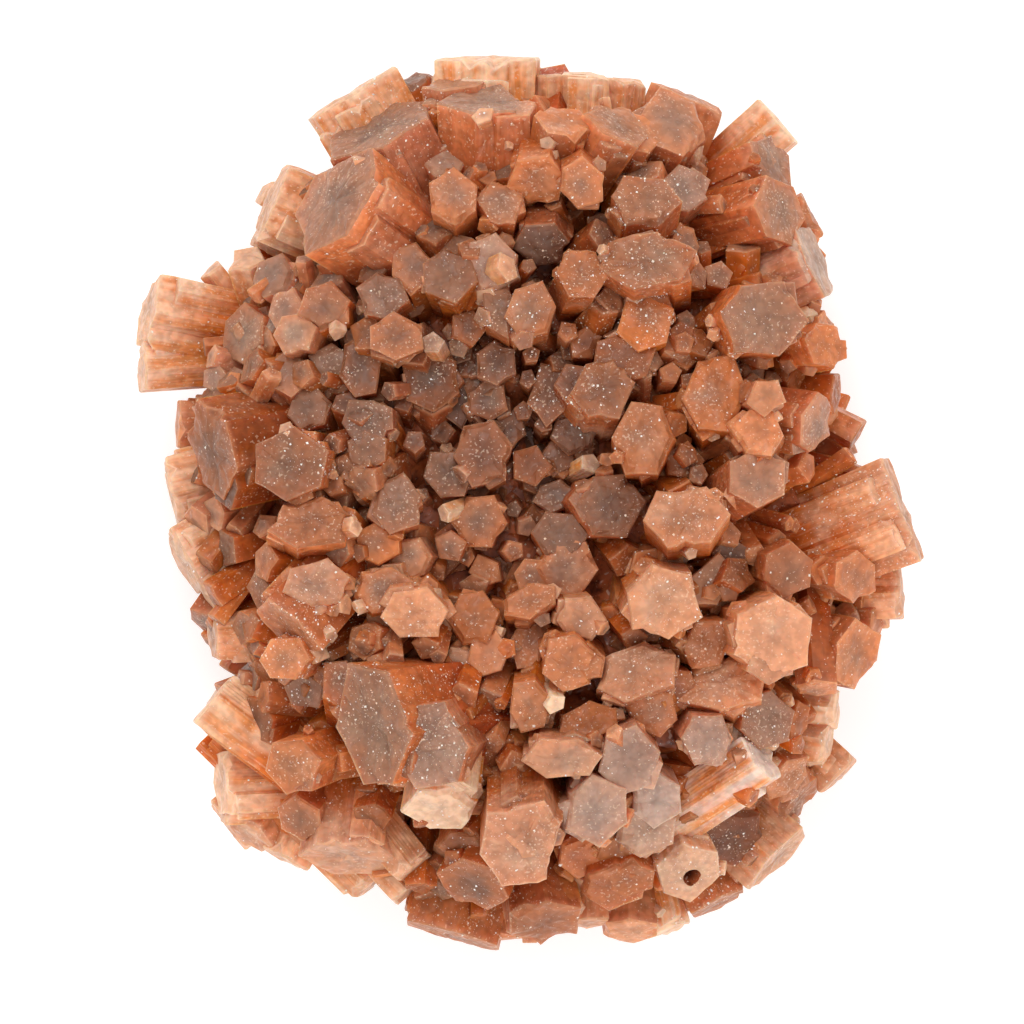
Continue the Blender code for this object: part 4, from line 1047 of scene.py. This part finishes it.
def side_finish(specks, stain, veil, frosting):
    """Prism faces: lengthwise lines with painted highlights on the fine ones; orange near the tip
    with a painted glow below it, pale there on milky crystals, partly painted light from behind;
    deep red-brown at the root, partly iron stain and partly painted shade.
    """
    material, tree, shader = new_finish("crystal_sides", Subsurface_Weight=0.34,
                                        Subsurface_Scale=0.0040, Specular_IOR_Level=0.3,
                                        Subsurface_Radius=(1.0, 0.33, 0.13))
    place = put(tree, "ShaderNodeTexCoord").outputs["Object"]
    milk = maths(tree, "POWER", layer(tree, "milk"), MILK_CURVE)
    grey, shade, seed = layer(tree, "grey"), layer(tree, "shade"), layer(tree, "seed")
    down = put(tree, "ShaderNodeSeparateXYZ",
               {0: put(tree, "ShaderNodeUVMap", uv_map="rim").outputs[0]}).outputs[1]
    lines = put(tree, "ShaderNodeUVMap", uv_map="lines").outputs[0]
    shift = put(tree, "ShaderNodeCombineXYZ", {0: maths(tree, "MULTIPLY", seed, 90.0)}).outputs[0]
    drawn = put(tree, "ShaderNodeVectorMath", {0: lines, 1: (1.0, 0.11, 1.0)},
                operation="MULTIPLY").outputs[0]
    drawn = put(tree, "ShaderNodeVectorMath", {0: drawn, 1: shift}, operation="ADD").outputs[0]
    coarse_lines = clouds(tree, drawn, 0.85, 1.0, 0.6)
    fine_lines = clouds(tree, drawn, 4.2, 0.0, 0.6)

    fresh = blend(tree, seed, (0.72, 0.168, 0.012, 1), (0.58, 0.110, 0.008, 1))
    # Darker and redder from the tip down to the root, deep between the crystals: partly iron
    # staining, partly painted shade.
    body = blend(tree, between(tree, down, 0.6, 9.0), fresh, (0.52, 0.070, 0.004, 1))
    # Milky crystals pale at the tip and orange towards the root: partly their own colour, partly
    # painted light shining through the thin outer ends.
    white = blend(tree, grey, (0.98, 0.62, 0.37, 1), (0.82, 0.68, 0.60, 1))
    rooted = maths(tree, "MULTIPLY", between(tree, down, 0.6, 6.2),
                   between(tree, grey, 0.4, 1.0, 1.0, 0.3))
    pale = blend(tree, rooted, white, (0.66, 0.155, 0.016, 1))
    body = blend(tree, milk, body, pale)
    body = blend(tree, maths(tree, "MULTIPLY", shade, 0.75), body, (0.17, 0.035, 0.012, 1))
    marked = maths(tree, "MULTIPLY_ADD", milk, 0.75, 0.2, clamp=True)
    streaks = maths(tree, "MULTIPLY", between(tree, coarse_lines, 0.40, 0.64), marked)
    lined = blend(tree, streaks, body,
                  blend(tree, milk, (0.36, 0.055, 0.006, 1), (0.80, 0.25, 0.035, 1)))
    # Painted highlights along the fine lengthwise lines.
    line_highlights = maths(tree, "MULTIPLY", between(tree, fine_lines, 0.52, 0.72),
                maths(tree, "MULTIPLY", marked, 0.35))
    lined = blend(tree, line_highlights, lined, blend(tree, milk, (0.72, 0.25, 0.07, 1), (0.97, 0.67, 0.47, 1)))
    lined = use(tree, veil, {"Place": place, "Colour": lined, "Milk": milk})["Colour"]
    rust = blend(tree, milk, (0.27, 0.045, 0.010, 1), (0.74, 0.24, 0.06, 1))
    stained = use(tree, stain, {"Place": place, "Colour": lined, "Stain": rust,
                                "Amount": 0.4, "Scale": 300.0})["Colour"]
    # Painted glow of light through the thin sides just below the tip.
    tip = between(tree, down, 0.1, 0.7, 1.0, 0.0)
    edged = blend(tree, maths(tree, "MULTIPLY", tip, 0.35), stained,
                  blend(tree, milk, (0.76, 0.33, 0.16, 1), (0.97, 0.80, 0.66, 1)))
    mottle = between(tree, clouds(tree, place, 1250.0, 1.0, 0.7), 0.34, 0.68, 0.84, 1.10)
    own = maths(tree, "FRACT", maths(tree, "MULTIPLY", seed, 5.17))
    lightest = maths(tree, "MULTIPLY_ADD", milk, 0.3, 0.66)
    value = maths(tree, "MULTIPLY", mottle, between(tree, own, 0.0, 1.0, lightest, 0.96))
    edged = put(tree, "ShaderNodeVectorMath", {0: edged, 3: value}, operation="SCALE").outputs[0]
    dust = use(tree, specks, {"Place": place, "Size": 4600.0, "Cover": 0.32,
                              "Drift": coarse_lines})["Mask"]
    dusted = blend(tree, maths(tree, "MULTIPLY", dust, 0.36), edged, (0.84, 0.60, 0.42, 1))
    frosted = use(tree, frosting, {"Place": place, "Scale": 1300.0})
    grooves = maths(tree, "MULTIPLY", maths(tree, "ADD", coarse_lines, fine_lines), marked)
    height = maths(tree, "ADD", frosted["Height"], maths(tree, "MULTIPLY", grooves, 1.6))
    finish_with(tree, shader, dusted, {"Height": height, "Roughness": frosted["Roughness"]}, 0.45)
    return material


def lump_finish(specks, stain, frosting):
    """The grainy red-brown ground between the crystals."""
    material, tree, shader = new_finish("rusty_ground", Subsurface_Weight=0.2,
                                        Subsurface_Scale=0.001)
    place = put(tree, "ShaderNodeTexCoord").outputs["Object"]
    stained = use(tree, stain, {"Place": place, "Colour": (0.42, 0.10, 0.028, 1),
                                "Stain": (0.10, 0.018, 0.006, 1), "Amount": 0.8,
                                "Scale": 500.0})["Colour"]
    dust = use(tree, specks, {"Place": place, "Size": 2400.0, "Cover": 0.3})["Mask"]
    dusted = blend(tree, maths(tree, "MULTIPLY", dust, 0.5), stained, (0.7, 0.5, 0.4, 1))
    finish_with(tree, shader, dusted, use(tree, frosting, {"Place": place, "Scale": 900.0}), 0.9)
    return material


def cut_finish(specks, stain, frosting):
    """The flat base, cut and roughly ground: pale orange crystal sections in rusty ground."""
    material, tree, shader = new_finish("ground_base", Subsurface_Weight=0.3,
                                        Subsurface_Scale=0.0015)
    place = put(tree, "ShaderNodeTexCoord").outputs["Object"]
    cells = put(tree, "ShaderNodeTexVoronoi", {"Vector": place, "Scale": 190.0}, feature="F1")
    shade = put(tree, "ShaderNodeSeparateColor", {0: cells.outputs["Color"]}).outputs[0]
    sections = blend(tree, shade, (0.52, 0.23, 0.12, 1), (0.72, 0.43, 0.28, 1))
    seams = put(tree, "ShaderNodeTexVoronoi", {"Vector": place, "Scale": 190.0},
                feature="DISTANCE_TO_EDGE").outputs["Distance"]
    jointed = blend(tree, between(tree, seams, 0.0, 0.06, 0.8, 0.0), sections,
                    (0.25, 0.07, 0.03, 1))
    stained = use(tree, stain, {"Place": place, "Colour": jointed, "Stain": (0.30, 0.09, 0.04, 1),
                                "Amount": 0.5, "Scale": 150.0})["Colour"]
    dust = use(tree, specks, {"Place": place, "Size": 1900.0, "Cover": 0.25})["Mask"]
    dusted = blend(tree, maths(tree, "MULTIPLY", dust, 0.4), stained, (0.85, 0.75, 0.68, 1))
    finish_with(tree, shader, dusted, use(tree, frosting, {"Place": place, "Scale": 800.0}), 0.5)
    return material


def grain_finish(frosting):
    """White calcite dust, a little warm."""
    material, tree, shader = new_finish("white_dust", Subsurface_Weight=0.2,
                                        Subsurface_Scale=0.0003)
    place = put(tree, "ShaderNodeTexCoord").outputs["Object"]
    warm = between(tree, clouds(tree, place, 700.0), 0.4, 0.65)
    colour = blend(tree, warm, (0.90, 0.82, 0.75, 1), (0.80, 0.50, 0.34, 1))
    finish_with(tree, shader, colour, use(tree, frosting, {"Place": place, "Scale": 3000.0}), 0.3)
    return material


def floor_finish(frosting):
    """The plain white board under the cluster."""
    material, tree, shader = new_finish("white_board", Emission_Color=(1, 1, 1, 1),
                                        Emission_Strength=BOARD_GLOW)
    place = put(tree, "ShaderNodeTexCoord").outputs["Object"]
    drift = clouds(tree, place, 30.0)
    colour = blend(tree, drift, (0.955, 0.955, 0.955, 1), (0.965, 0.965, 0.965, 1))
    finish_with(tree, shader, colour, use(tree, frosting, {"Place": place, "Scale": 400.0}), 0.02)
    return material


def soft_light(name, place, size, power):
    """A square soft box that faces the cluster."""
    lamp = bpy.data.lights.new(name, "AREA")
    lamp.size = size
    lamp.energy = power
    box = bpy.data.objects.new(name, lamp)
    box.location = place
    box.rotation_euler = (Vector((0, 0, 0.015)) - Vector(place)).to_track_quat("-Z", "Y").to_euler()
    bpy.context.scene.collection.objects.link(box)


def set_the_stage(frosting):
    """White board, white surroundings, soft boxes, and the camera straight above."""
    scene = bpy.context.scene
    bpy.ops.mesh.primitive_plane_add(size=3.0, location=(0, 0, -0.0001))
    board = bpy.context.object
    board.name = "white_board"
    board.data.materials.append(floor_finish(frosting))
    world = bpy.data.worlds.new("white_room")
    world.use_nodes = True
    world.node_tree.nodes["Background"].inputs["Color"].default_value = (1, 1, 1, 1)
    world.node_tree.nodes["Background"].inputs["Strength"].default_value = WORLD_LIGHT
    scene.world = world
    for name, place, size, power in LIGHTS:
        soft_light(name, place, size, power)
    scene.view_settings.view_transform = "Standard"
    scene.cycles.max_bounces = 3
    scene.cycles.diffuse_bounces = 2
    scene.cycles.glossy_bounces = 1
    camera = bpy.data.cameras.new("straight_above")
    camera.sensor_width = 36.0
    camera.lens = 36.0 * (CAMERA_HEIGHT - MIDDLE_HEIGHT) / VIEW_WIDTH
    camera.clip_end = 10.0
    eye = bpy.data.objects.new("straight_above", camera)
    eye.location = (VIEW_CENTRE[0], VIEW_CENTRE[1], CAMERA_HEIGHT)
    scene.collection.objects.link(eye)
    scene.camera = eye


def build():
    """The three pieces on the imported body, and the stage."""
    specks, stain, frosting = dust_specks_group(), iron_stain_group(), frosting_group()
    veil = white_veil_group()
    finishes = [cap_finish(specks, stain, veil, frosting),
                side_finish(specks, stain, veil, frosting),
                lump_finish(specks, stain, frosting), cut_finish(specks, stain, frosting)]
    cluster = grow_cluster(finishes)
    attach(cluster, "root")
    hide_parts("aragonite_cluster")
    druse = grow_druse(finishes)
    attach(druse, "root")
    grains = grain_dust(cluster, druse, grain_finish(frosting))
    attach(grains, "root")
    set_the_stage(frosting)


build()
